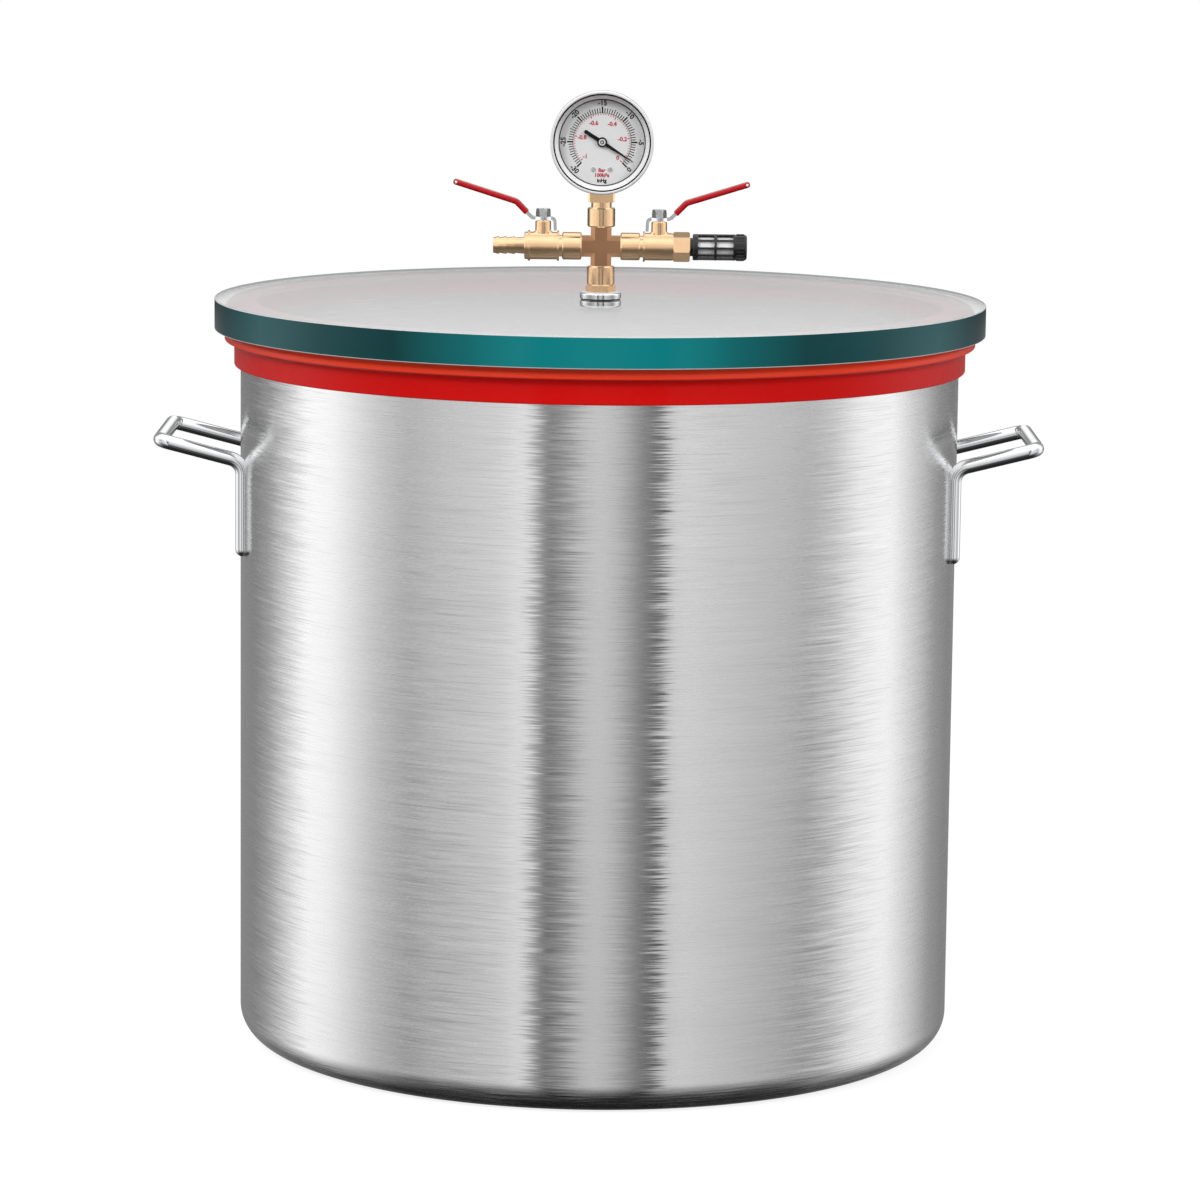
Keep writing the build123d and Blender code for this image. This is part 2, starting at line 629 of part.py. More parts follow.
# The lever is a pressed strip: a stop tab bent down inside, a flat hub and a cranked arm.
lever_middle = LEVER_BOTTOM + LEVER_THICKNESS / 2
tab_x = VALVE_OFFSET - LEVER_TAB_OFFSET
crank_end_height = lever_middle + CRANK_RISE
tip_height = lever_middle + GRIP_TIP_RISE
lever_points = [
    (tab_x - LEVER_TAB_LEAN, 0, lever_middle - LEVER_TAB_DROP),
    (tab_x, 0, lever_middle),
    (CRANK_START_X, 0, lever_middle),
    (CRANK_END_X, 0, crank_end_height),
]
arm_slope = (tip_height - crank_end_height) / (GRIP_TIP_X - CRANK_END_X)
lever_tip = (LEVER_TIP_X, 0, crank_end_height + arm_slope * (LEVER_TIP_X - CRANK_END_X))
with BuildPart() as lever_blank:
    with BuildLine() as lever_path:
        FilletPolyline(
            *lever_points,
            lever_tip,
            radius=[LEVER_TAB_BEND, CRANK_FOOT_RADIUS, CRANK_RADIUS],
        )
    with BuildSketch(
        Plane(origin=lever_path.line @ 0, x_dir=(0, 1, 0), z_dir=lever_path.line % 0)
    ):
        Rectangle(2 * LEVER_HUB_RADIUS, LEVER_THICKNESS)
    sweep(path=lever_path.line)
    # The strip's plan: a round hub with a narrower tab and arm
    with BuildSketch(stem_plane_at(PIPE_Z), mode=Mode.PRIVATE) as lever_plan:
        Circle(LEVER_HUB_RADIUS)
        with Locations((-LEVER_TAB_OFFSET, 0)):
            Rectangle(LEVER_TAB_OFFSET, LEVER_TAB_WIDTH)
        Rectangle(LEVER_TIP_X, LEVER_WIDTH, align=(Align.MIN, Align.CENTER))
    extrude(lever_plan.sketch, amount=tip_height, mode=Mode.INTERSECT)
    with BuildSketch(stem_plane_at(LEVER_BOTTOM)):
        Circle(STEM_END_RADIUS)
    extrude(amount=LEVER_THICKNESS, mode=Mode.SUBTRACT)

# The vinyl sleeve is dipped over the arm and ends in a small hanging eye.
crank_slope = CRANK_RISE / (CRANK_END_X - CRANK_START_X)
grip_start_height = lever_middle + (GRIP_START_X - CRANK_START_X) * crank_slope
eye_radius = GRIP_THICKNESS / 2
with BuildPart() as grip_blank:
    with BuildLine() as grip_path:
        FilletPolyline(
            (GRIP_START_X, 0, grip_start_height),
            (CRANK_END_X, 0, crank_end_height),
            (GRIP_TIP_X, 0, tip_height),
            radius=[CRANK_RADIUS],
        )
    with BuildSketch(
        Plane(origin=grip_path.line @ 0, x_dir=(0, 1, 0), z_dir=grip_path.line % 0)
    ):
        RectangleRounded(GRIP_WIDTH, GRIP_THICKNESS, GRIP_EDGE)
    sweep(path=grip_path.line)
    tip_plane = Plane(origin=(GRIP_TIP_X, 0, tip_height), x_dir=(1, 0, 0), z_dir=(0, -1, 0))
    with BuildSketch(tip_plane):
        Circle(eye_radius)
    extrude(amount=GRIP_WIDTH / 2 - GRIP_EDGE, both=True)
    with BuildSketch(tip_plane):
        Circle(GRIP_EYE_RADIUS)
    extrude(amount=GRIP_WIDTH, both=True, mode=Mode.SUBTRACT)
    add(lever_blank.part, mode=Mode.SUBTRACT)

with BuildPart() as lever_nut_blank:
    with BuildSketch(stem_plane_at(LEVER_TOP)):
        RegularPolygon(LEVER_NUT_FLATS / 2, 6, major_radius=False)
        Circle(STEM_END_RADIUS, mode=Mode.SUBTRACT)
    extrude(amount=LEVER_NUT_HEIGHT)
    with BuildSketch(stem_plane_at(LEVER_TOP)):
        Circle(LEVER_NUT_CROWN_RADIUS)
    extrude(amount=LEVER_NUT_HEIGHT, taper=LEVER_NUT_TAPER, mode=Mode.INTERSECT)

valve_blanks = {
    "body": valve_blank,
    "seats": seats_blank,
    "ball": ball_blank,
    "stem": stem_blank,
    "packing": packing_blank,
    "lever": lever_blank,
    "grip": grip_blank,
    "lever_nut": lever_nut_blank,
}
for piece_name, blank in valve_blanks.items():
    with BuildPart() as right_piece:
        add(blank.part)
    right_piece.part.label = "right_valve_" + piece_name
    export_step(right_piece.part, f"parts/right_valve_{piece_name}.step")
    with BuildPart() as left_piece:
        mirror(blank.part, about=Plane.YZ)
    left_piece.part.label = "left_valve_" + piece_name
    export_step(left_piece.part, f"parts/left_valve_{piece_name}.step")


# ---------------------------------------------------------------- hose barb
# Screwed into the left valve: a flange, then ribs that taper down towards the tail.
spigot_start = chamber_end
spigot_radius = CHAMBER_RADIUS - RUNNING_CLEARANCE
barb_points = []
for rib_start, rib_end in zip(BARB_RIB_ENDS, BARB_RIB_ENDS[1:]):
    crest = BARB_CREST if rib_start > BARB_RIB_ENDS[0] else BARB_FIRST_CREST
    barb_points += [(rib_start, crest), (rib_end, BARB_ROOT)]
barb_flange_end = VALVE_END + BARB_FLANGE_WIDTH
with BuildPart() as hose_barb_blank:
    revolve(
        outline(
            PIPE_PLANE,
            (spigot_start, WATERWAY_RADIUS),
            (spigot_start, spigot_radius),
            (VALVE_END, spigot_radius),
            (VALVE_END, VALVE_RING_RADIUS - VALVE_RING_EDGE),
            (VALVE_END + VALVE_RING_EDGE, VALVE_RING_RADIUS),
            (barb_flange_end - VALVE_RING_EDGE, VALVE_RING_RADIUS),
            (barb_flange_end, VALVE_RING_RADIUS - VALVE_RING_EDGE),
            (barb_flange_end, VALVE_RADIUS),
            (BARB_RIB_ENDS[0] - BARB_COLLAR_EDGE, VALVE_RADIUS),
            (BARB_RIB_ENDS[0], VALVE_RADIUS - BARB_COLLAR_EDGE),
            *barb_points,
            (BARB_RIB_ENDS[-1], WATERWAY_RADIUS),
        ),
        axis=PIPE_AXIS,
    )
with BuildPart() as hose_barb:
    mirror(hose_barb_blank.part, about=Plane.YZ)
hose_barb.part.label = "hose_barb"
export_step(hose_barb.part, "parts/hose_barb.step")


# ---------------------------------------------------------------- right valve's hex end
hex_start = VALVE_END + HEX_EDGE
with BuildPart() as valve_end_hex:
    with BuildSketch(pipe_plane_at(hex_start)):
        RegularPolygon(HEX_FLATS / 2, 6, major_radius=False, rotation=HEX_TURN)
    extrude(amount=HEX_END - hex_start)
    # Turned chamfers at both ends of the hexagon
    corner_radius = HEX_FLATS / sqrt(3)
    revolve(
        outline(
            PIPE_PLANE,
            (hex_start, 0),
            (hex_start, corner_radius - HEX_EDGE),
            (hex_start + HEX_EDGE, corner_radius),
            (HEX_END - HEX_EDGE, corner_radius),
            (HEX_END, corner_radius - HEX_EDGE),
            (HEX_END, 0),
        ),
        axis=PIPE_AXIS,
        mode=Mode.INTERSECT,
    )
    with BuildSketch(pipe_plane_at(VALVE_END)):
        Circle(HEX_SHOULDER_RADIUS)
    extrude(amount=HEX_EDGE)
    with BuildSketch(pipe_plane_at(spigot_start)):
        Circle(spigot_radius)
    extrude(amount=VALVE_END - spigot_start)
    with BuildSketch(pipe_plane_at(spigot_start)):
        Circle(WATERWAY_RADIUS)
    extrude(amount=HEX_END - spigot_start, mode=Mode.SUBTRACT)
    with BuildSketch(pipe_plane_at(HEX_END)):
        Circle(SMALL_SOCKET_RADIUS)
    extrude(amount=-STUB_LENGTH + THREAD_RUNOUT, mode=Mode.SUBTRACT)
valve_end_hex.part.label = "valve_end_hex"
export_step(valve_end_hex.part, "parts/valve_end_hex.step")


# ---------------------------------------------------------------- muffler
# A moulded cage of windows round a porous element, closed by a ridged cap.
row_pitch = 360.0 / WINDOW_ROWS
window_width = 2 * MUFFLER_RADIUS * sin(radians(WINDOW_ANGLE / 2))
element_start = MUFFLER_START + MUFFLER_FLOOR
with BuildPart() as muffler_cage:
    revolve(
        outline(
            PIPE_PLANE,
            (HEX_END - MUFFLER_STUB_LENGTH, WATERWAY_RADIUS),
            (HEX_END - MUFFLER_STUB_LENGTH, SMALL_STUB_RADIUS),
            (HEX_END, SMALL_STUB_RADIUS),
            (HEX_END, MUFFLER_NECK_RADIUS),
            (MUFFLER_START, MUFFLER_NECK_RADIUS),
            (MUFFLER_START, MUFFLER_RADIUS - MUFFLER_EDGE),
            (MUFFLER_START + MUFFLER_EDGE, MUFFLER_RADIUS),
            (MUFFLER_CAGE_END, MUFFLER_RADIUS),
            (MUFFLER_CAGE_END, MUFFLER_BORE_RADIUS),
            (element_start, MUFFLER_BORE_RADIUS),
            (element_start, WATERWAY_RADIUS),
        ),
        axis=PIPE_AXIS,
    )
    for column_start, column_end in WINDOW_COLUMNS:
        for row in range(WINDOW_ROWS):
            row_angle = (row + 0.5) * row_pitch
            outward = Vector(0, cos(radians(row_angle)), sin(radians(row_angle)))
            window_plane = Plane(
                origin=(0, 0, PIPE_Z),
                x_dir=(1, 0, 0),
                z_dir=outward,
            ).offset(WATERWAY_RADIUS)
            with BuildSketch(window_plane):
                with Locations(((column_start + column_end) / 2, 0)):
                    RectangleRounded(column_end - column_start, window_width, WINDOW_CORNER)
            extrude(amount=MUFFLER_RADIUS, mode=Mode.SUBTRACT)
muffler_cage.part.label = "muffler_cage"
export_step(muffler_cage.part, "parts/muffler_cage.step")

with BuildPart() as muffler_element:
    with BuildSketch(pipe_plane_at(element_start)):
        Circle(MUFFLER_BORE_RADIUS - ELEMENT_CLEARANCE)
        Circle(WATERWAY_RADIUS, mode=Mode.SUBTRACT)
    extrude(amount=MUFFLER_CAGE_END - element_start)
muffler_element.part.label = "muffler_element"
export_step(muffler_element.part, "parts/muffler_element.step")

with BuildPart() as muffler_cap:
    with BuildSketch(pipe_plane_at(MUFFLER_CAGE_END)):
        Circle(CAP_RADIUS)
    extrude(amount=MUFFLER_END - MUFFLER_CAGE_END)
    chamfer(muffler_cap.edges().group_by(Axis.X)[-1], length=CAP_EDGE)
    # Grip ridges round the cap
    with BuildSketch(pipe_plane_at(MUFFLER_CAGE_END + CAP_RIDGE_START)):
        with PolarLocations(CAP_RADIUS, CAP_RIDGES):
            Rectangle(CAP_RIDGE_HEIGHT, CAP_RIDGE_WIDTH)
    extrude(amount=CAP_RIDGE_LENGTH)
muffler_cap.part.label = "muffler_cap"
export_step(muffler_cap.part, "parts/muffler_cap.step")


# ---------------------------------------------------------------- gauge: socket and tube
block_bottom = CROSS_TOP + BLOCK_NECK
inner_block_bottom = GAUGE_Z - INNER_BLOCK_DROP
inner_block_middle = (INNER_BLOCK_FRONT + INNER_BLOCK_BACK) / 2

with BuildPart() as bourdon_tube:
    with BuildSketch(Plane.YZ, mode=Mode.PRIVATE) as tube_section:
        with Locations((TUBE_Y, GAUGE_Z - TUBE_RADIUS)):
            SlotOverall(2 * TUBE_HALF_DEPTH, 2 * TUBE_HALF_THICKNESS)
    revolve(tube_section.sketch, axis=GAUGE_AXIS, revolution_arc=TUBE_ARC)
bourdon_tube.part.label = "bourdon_tube"
export_step(bourdon_tube.part, "parts/bourdon_tube.step")

with BuildPart() as gauge_socket:
    with BuildSketch(Plane.XY.offset(CROSS_TOP - STUB_LENGTH)):
        Circle(STUB_RADIUS)
    extrude(amount=STUB_LENGTH)
    with BuildSketch(Plane.XY.offset(CROSS_TOP)):
        Circle(BLOCK_NECK_RADIUS)
    extrude(amount=block_bottom - CROSS_TOP)
    with BuildSketch(Plane.XY.offset(block_bottom)):
        Rectangle(2 * BLOCK_HALF_WIDTH, 2 * BLOCK_HALF_DEPTH)
        chamfer(vertices(), length=BLOCK_EDGE)
    extrude(amount=BLOCK_HEIGHT)
    with BuildSketch(gauge_plane_at(-BLOCK_HALF_DEPTH)):
        Circle(CASE_RADIUS)
    extrude(amount=-2 * BLOCK_HALF_DEPTH, mode=Mode.SUBTRACT)
    with BuildSketch(Plane.XY.offset(block_bottom)):
        Circle(BLOCK_TOP_RADIUS)
    extrude(amount=inner_block_bottom - block_bottom)
    with BuildSketch(Plane.XY.offset(inner_block_bottom)):
        with Locations((0, inner_block_middle)):
            Rectangle(INNER_BLOCK_WIDTH, INNER_BLOCK_BACK - INNER_BLOCK_FRONT)
    extrude(amount=INNER_BLOCK_HEIGHT)
    with BuildSketch(Plane.XY.offset(CROSS_TOP - STUB_LENGTH)):
        Circle(GAUGE_WATERWAY_RADIUS)
    extrude(amount=GAUGE_Z - TUBE_RADIUS - CROSS_TOP + STUB_LENGTH, mode=Mode.SUBTRACT)
    add(bourdon_tube.part, mode=Mode.SUBTRACT)
gauge_socket.part.label = "gauge_socket"
export_step(gauge_socket.part, "parts/gauge_socket.step")


# ---------------------------------------------------------------- gauge: case and front
with BuildPart() as gauge_case:
    with BuildSketch(gauge_plane_at(CASE_BACK)):
        Circle(CASE_RADIUS)
    extrude(amount=CASE_BACK - CASE_FRONT)
    fillet(gauge_case.edges().group_by(Axis.Y)[-1], radius=CASE_EDGE)
    front_face = gauge_case.faces().sort_by(Axis.Y)[0]
    offset(amount=-CASE_WALL, openings=front_face)
    with BuildSketch(gauge_plane_at(CASE_FRONT)):
        Circle(CASE_RADIUS + CASE_FLANGE_WIDTH)
        Circle(CASE_RADIUS - CASE_WALL, mode=Mode.SUBTRACT)
    extrude(amount=-CASE_FLANGE_THICKNESS)
    with BuildSketch(Plane.XY.offset(GAUGE_Z - CASE_RADIUS - CASE_FLANGE_WIDTH)):
        Circle(BLOCK_TOP_RADIUS + CASE_NECK_CLEARANCE)
    extrude(amount=2 * CASE_EDGE, mode=Mode.SUBTRACT)
gauge_case.part.label = "gauge_case"
export_step(gauge_case.part, "parts/gauge_case.step")

lens_back = CASE_FRONT - LENS_SEAL_THICKNESS
lens_front = lens_back - LENS_THICKNESS
pocket_radius = CASE_RADIUS + CASE_WALL
with BuildPart() as lens_seal:
    with BuildSketch(gauge_plane_at(CASE_FRONT)):
        Circle(pocket_radius)
        Circle(LENS_SEAL_INSIDE, mode=Mode.SUBTRACT)
    extrude(amount=LENS_SEAL_THICKNESS)
lens_seal.part.label = "lens_seal"
export_step(lens_seal.part, "parts/lens_seal.step")

with BuildPart() as gauge_lens:
    with BuildSketch(gauge_plane_at(lens_back)):
        Circle(pocket_radius)
    extrude(amount=LENS_THICKNESS)
gauge_lens.part.label = "gauge_lens"
export_step(gauge_lens.part, "parts/gauge_lens.step")

# The bezel: a rolled outer rim, a narrow groove and a bevel down to the lens.
with BuildPart() as gauge_bezel:
    with BuildSketch(GAUGE_SECTION):
        with BuildLine():
            Polyline(
                (pocket_radius, BEZEL_BACK),
                (BEZEL_RADIUS, BEZEL_BACK),
                (BEZEL_RADIUS, BEZEL_FRONT + BEZEL_ROLL),
            )
            RadiusArc(
                (BEZEL_RADIUS, BEZEL_FRONT + BEZEL_ROLL),
                (BEZEL_RADIUS - BEZEL_ROLL, BEZEL_FRONT),
                -BEZEL_ROLL,
            )
            Polyline(
                (BEZEL_RADIUS - BEZEL_ROLL, BEZEL_FRONT),
                (GROOVE_OUTSIDE, BEZEL_FRONT + GROOVE_LIP),
                (GROOVE_OUTSIDE, BEZEL_FRONT + GROOVE_DEPTH),
                (GROOVE_INSIDE, BEZEL_FRONT + GROOVE_DEPTH),
                (GROOVE_INSIDE, BEZEL_FRONT + BEVEL_START),
                (BEZEL_SIGHT_RADIUS, lens_front - BEVEL_LAND),
                (BEZEL_SIGHT_RADIUS, lens_front),
                (pocket_radius, lens_front),
                (pocket_radius, BEZEL_BACK),
            )
        make_face()
    revolve(axis=GAUGE_AXIS)
gauge_bezel.part.label = "gauge_bezel"
export_step(gauge_bezel.part, "parts/gauge_bezel.step")

dial_back = DIAL_FRONT + DIAL_THICKNESS
dial_screw_places = ((-DIAL_SCREW_X, -DIAL_SCREW_DROP), (DIAL_SCREW_X, -DIAL_SCREW_DROP))
with BuildPart() as gauge_dial:
    with BuildSketch(gauge_plane_at(dial_back)):
        Circle(DIAL_RADIUS)
        Circle(2 * SHAFT_RADIUS, mode=Mode.SUBTRACT)
        with Locations(*dial_screw_places):
            Circle(DIAL_SCREW_SHANK + RUNNING_CLEARANCE, mode=Mode.SUBTRACT)
    extrude(amount=DIAL_THICKNESS)
gauge_dial.part.label = "gauge_dial"
export_step(gauge_dial.part, "parts/gauge_dial.step")


# ---------------------------------------------------------------- gauge: movement
front_plate_back = INNER_BLOCK_FRONT
front_plate_front = front_plate_back - PLATE_THICKNESS
back_plate_back = BACK_PLATE_FRONT + PLATE_THICKNESS
arbor_place = (0, -GEAR_CENTRES)
with BuildPart() as movement_front_plate:
    with BuildSketch(gauge_plane_at(front_plate_back)):
        with Locations((0, (PLATE_TOP + FRONT_PLATE_BOTTOM) / 2)):
            RectangleRounded(PLATE_WIDTH, PLATE_TOP - FRONT_PLATE_BOTTOM, PLATE_CORNER)
        with Locations((0, 0), arbor_place):
            Circle(SHAFT_RADIUS + RUNNING_CLEARANCE, mode=Mode.SUBTRACT)
    extrude(amount=PLATE_THICKNESS)
    # Two bosses carry the dial
    with BuildSketch(gauge_plane_at(front_plate_front)):
        with Locations(*dial_screw_places):
            Circle(2 * SHAFT_RADIUS)
    extrude(amount=front_plate_front - dial_back)
    with BuildSketch(gauge_plane_at(dial_back)):
        with Locations(*dial_screw_places):
            Circle(DIAL_SCREW_SHANK)
    extrude(amount=dial_back - front_plate_back, mode=Mode.SUBTRACT)
movement_front_plate.part.label = "movement_front_plate"
export_step(movement_front_plate.part, "parts/movement_front_plate.step")

with BuildPart() as movement_back_plate:
    with BuildSketch(gauge_plane_at(back_plate_back)):
        with Locations((0, (PLATE_TOP + BACK_PLATE_BOTTOM) / 2)):
            RectangleRounded(PLATE_WIDTH, PLATE_TOP - BACK_PLATE_BOTTOM, PLATE_CORNER)
        with Locations((0, 0), arbor_place):
            Circle(SHAFT_RADIUS + RUNNING_CLEARANCE, mode=Mode.SUBTRACT)
    extrude(amount=PLATE_THICKNESS)
movement_back_plate.part.label = "movement_back_plate"
export_step(movement_back_plate.part, "parts/movement_back_plate.step")

with BuildPart() as movement_pillars:
    with BuildSketch(gauge_plane_at(BACK_PLATE_FRONT)):
        with Locations(*PILLAR_PLACES):
            Circle(PILLAR_RADIUS)
    extrude(amount=BACK_PLATE_FRONT - front_plate_back)
movement_pillars.part.label = "movement_pillars"
export_step(movement_pillars.part, "parts/movement_pillars.step")

with BuildPart() as dial_screws:
    with BuildSketch(gauge_plane_at(DIAL_FRONT)):
        with Locations(*dial_screw_places):
            Circle(DIAL_SCREW_RADIUS)
    extrude(amount=DIAL_SCREW_HEIGHT)
    with BuildSketch(gauge_plane_at(DIAL_FRONT)):
        with Locations(*dial_screw_places):
            Circle(DIAL_SCREW_SHANK)
    extrude(amount=DIAL_FRONT - front_plate_back)
dial_screws.part.label = "dial_screws"
export_step(dial_screws.part, "parts/dial_screws.step")

# One straight-sided tooth, pointing along +X from the pitch circle
pinion_radius = GEAR_MODULE * PINION_TEETH / 2
sector_radius = GEAR_CENTRES - pinion_radius
tooth_half_width = pi * GEAR_MODULE / 4 - TOOTH_BACKLASH / 2
tooth_slope = tan(radians(TOOTH_FLANK_ANGLE))
tooth_root = -TOOTH_DEDENDUM - TOOTH_BACKLASH
tooth_points = (
    (tooth_root, -tooth_half_width - TOOTH_DEDENDUM * tooth_slope),
    (TOOTH_ADDENDUM, -tooth_half_width + TOOTH_ADDENDUM * tooth_slope),
    (TOOTH_ADDENDUM, tooth_half_width - TOOTH_ADDENDUM * tooth_slope),
    (tooth_root, tooth_half_width + TOOTH_DEDENDUM * tooth_slope),
)

# The pointer's shaft carries the pinion, with a tooth pointing down at the sector.
sector_front = SECTOR_BACK - SECTOR_THICKNESS
with BuildPart() as pointer_shaft:
    with BuildSketch(gauge_plane_at(back_plate_back + PINION_OVERHANG)):
        Circle(SHAFT_RADIUS)
    extrude(amount=back_plate_back + PINION_OVERHANG - POINTER_FRONT + POINTER_THICKNESS)
    with BuildSketch(gauge_plane_at(SECTOR_BACK + PINION_OVERHANG)):
        Circle(pinion_radius - TOOTH_DEDENDUM)
        with PolarLocations(pinion_radius, PINION_TEETH, start_angle=-90):
            Polygon(*tooth_points, align=None)
    extrude(amount=SECTOR_THICKNESS + 2 * PINION_OVERHANG)
pointer_shaft.part.label = "pointer_shaft"
export_step(pointer_shaft.part, "parts/pointer_shaft.step")

# The sector: a toothed rim on two spokes, and a tail for the link, riveted to its arbor.
tooth_angle = degrees(pi * GEAR_MODULE / sector_radius)
first_tooth = 90 - TEETH_BEFORE_MESH * tooth_angle
teeth_sweep = (SECTOR_TEETH - 1) * tooth_angle
rim_outside = sector_radius - TOOTH_DEDENDUM
tail_end = Vector(TAIL_LENGTH, 0).rotate(Axis.Z, TAIL_ANGLE) + Vector(*arbor_place)
tail_middle = (tail_end + Vector(*arbor_place)) / 2
with BuildPart() as sector_gear:
    with BuildSketch(gauge_plane_at(SECTOR_BACK)):
        with BuildLine():
            arc_start = first_tooth - tooth_angle / 2
            rim_arc = CenterArc(arbor_place, rim_outside, arc_start, teeth_sweep + tooth_angle)
            Polyline(rim_arc @ 1, arbor_place, rim_arc @ 0)
        make_face()
        with BuildLine():
            gap_start = arc_start + 2 * tooth_angle
            gap_sweep = teeth_sweep - 3 * tooth_angle
            outer_arc = CenterArc(arbor_place, rim_outside - SECTOR_RIM, gap_start, gap_sweep)
            inner_arc = CenterArc(arbor_place, 2 * SECTOR_HUB_RADIUS, gap_start, gap_sweep)
            Line(outer_arc @ 0, inner_arc @ 0)
            Line(outer_arc @ 1, inner_arc @ 1)
        make_face(mode=Mode.SUBTRACT)
        with Locations(arbor_place):
            Circle(SECTOR_HUB_RADIUS)
            with PolarLocations(
                sector_radius,
                SECTOR_TEETH,
                start_angle=first_tooth,
                angular_range=teeth_sweep,
                endpoint=True,
            ):
                Polygon(*tooth_points, align=None)
        with Locations((tail_middle.X, tail_middle.Y)):
            SlotCenterToCenter(TAIL_LENGTH, TAIL_WIDTH, rotation=TAIL_ANGLE)
        with Locations(arbor_place):
            Circle(SHAFT_RADIUS, mode=Mode.SUBTRACT)
        with Locations((tail_end.X, tail_end.Y)):
            Circle(LINK_PIN_RADIUS + RUNNING_CLEARANCE, mode=Mode.SUBTRACT)
    extrude(amount=SECTOR_THICKNESS)
sector_gear.part.label = "sector_gear"
export_step(sector_gear.part, "parts/sector_gear.step")

with BuildPart() as sector_arbor:
    with BuildSketch(gauge_plane_at(back_plate_back)):
        with Locations(arbor_place):
            Circle(SHAFT_RADIUS)
    extrude(amount=back_plate_back - front_plate_front)
sector_arbor.part.label = "sector_arbor"
export_step(sector_arbor.part, "parts/sector_arbor.step")

# The tube's free end is closed by a block with an ear for the link.
tip_turn = radians(TUBE_ARC)
tip_outward = Vector(-sin(tip_turn), -cos(tip_turn))
tip_along = Vector(-cos(tip_turn), sin(tip_turn))
ear_point = tip_outward * TUBE_RADIUS + tip_along * (TUBE_EAR_LENGTH / 2)
with BuildPart() as tube_tip:
    with BuildSketch(gauge_plane_at(TUBE_Y + TUBE_HALF_DEPTH)):
        with Locations((ear_point.X, ear_point.Y)):
            Rectangle(
                2 * TUBE_HALF_THICKNESS,
                TUBE_EAR_LENGTH,
                rotation=degrees(atan2(tip_outward.Y, tip_outward.X)),
            )
    extrude(amount=TUBE_Y + TUBE_HALF_DEPTH - TUBE_EAR_FRONT)
tube_tip.part.label = "tube_tip"
export_step(tube_tip.part, "parts/tube_tip.step")

# The link is a flat bar from the ear to the sector's tail, with a pin that turns in the tail.
link_run = ear_point - tail_end
link_middle = (ear_point + tail_end) / 2
link_angle = degrees(atan2(link_run.Y, link_run.X))
with BuildPart() as movement_link:
    with BuildSketch(gauge_plane_at(LINK_BACK)):
        with Locations((link_middle.X, link_middle.Y)):
            SlotCenterToCenter(link_run.length, LINK_WIDTH, rotation=link_angle)
        with Locations((ear_point.X, ear_point.Y)):
            Circle(LINK_PIN_RADIUS, mode=Mode.SUBTRACT)
    extrude(amount=LINK_THICKNESS)
    with BuildSketch(gauge_plane_at(LINK_BACK - LINK_THICKNESS)):
        with Locations((tail_end.X, tail_end.Y)):
            Circle(LINK_PIN_RADIUS)
    extrude(amount=LINK_BACK - LINK_THICKNESS - sector_front)
movement_link.part.label = "movement_link"
export_step(movement_link.part, "parts/movement_link.step")

# The pointer and its shaft turn together, square to the dial.
pointer_direction = Vector(cos(radians(POINTER_REST_ANGLE)), 0, sin(radians(POINTER_REST_ANGLE)))
pointer_back = POINTER_FRONT + POINTER_THICKNESS
pointer_plane = Plane(
    origin=(0, pointer_back, GAUGE_Z),
    x_dir=pointer_direction,
    z_dir=(0, -1, 0),
)
hub_back = DIAL_FRONT - POINTER_BOSS_GAP
hub_length = hub_back - POINTER_FRONT + POINTER_THICKNESS
with BuildPart() as gauge_pointer:
    with BuildSketch(pointer_plane):
        with BuildLine():
            Polyline(
                (-POINTER_TAIL, -POINTER_TAIL_HALF_WIDTH),
                (0, -POINTER_HALF_WIDTH),
                (POINTER_TIP, -POINTER_TIP_HALF_WIDTH),
                (POINTER_TIP, POINTER_TIP_HALF_WIDTH),
                (0, POINTER_HALF_WIDTH),
                (-POINTER_TAIL, POINTER_TAIL_HALF_WIDTH),
                close=True,
            )
        make_face()
        Circle(POINTER_HUB_RADIUS)
        with Locations((-POINTER_TAIL, 0)):
            Circle(POINTER_HALF_WIDTH)
    extrude(amount=POINTER_THICKNESS)
    with BuildSketch(gauge_plane_at(hub_back)):
        Circle(POINTER_BOSS_RADIUS)
    extrude(amount=hub_length)
    with BuildSketch(gauge_plane_at(hub_back)):
        Circle(SHAFT_RADIUS)
    extrude(amount=hub_length, mode=Mode.SUBTRACT)
gauge_pointer.part.label = "gauge_pointer"
export_step(gauge_pointer.part, "parts/gauge_pointer.step")
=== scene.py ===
import bpy
import bmesh
from math import cos, degrees, pi, radians, sin
from mathutils import Matrix, Vector


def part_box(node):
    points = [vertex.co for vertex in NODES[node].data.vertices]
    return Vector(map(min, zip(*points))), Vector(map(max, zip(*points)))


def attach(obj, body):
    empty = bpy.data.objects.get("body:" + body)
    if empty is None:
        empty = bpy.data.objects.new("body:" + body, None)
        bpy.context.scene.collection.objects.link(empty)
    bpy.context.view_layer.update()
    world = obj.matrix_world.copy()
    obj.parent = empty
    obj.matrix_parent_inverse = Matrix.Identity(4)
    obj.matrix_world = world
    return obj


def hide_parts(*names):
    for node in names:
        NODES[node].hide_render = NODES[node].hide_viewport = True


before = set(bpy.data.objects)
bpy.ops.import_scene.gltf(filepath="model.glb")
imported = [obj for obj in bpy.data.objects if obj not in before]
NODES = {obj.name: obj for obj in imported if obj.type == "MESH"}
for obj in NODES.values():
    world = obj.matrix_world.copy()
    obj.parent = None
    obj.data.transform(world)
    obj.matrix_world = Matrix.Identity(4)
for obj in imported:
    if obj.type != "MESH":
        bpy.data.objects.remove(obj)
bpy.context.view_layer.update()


def centre_of(node):
    """The middle of a CAD node's box."""
    return tuple((low + high) / 2 for low, high in zip(*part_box(node)))


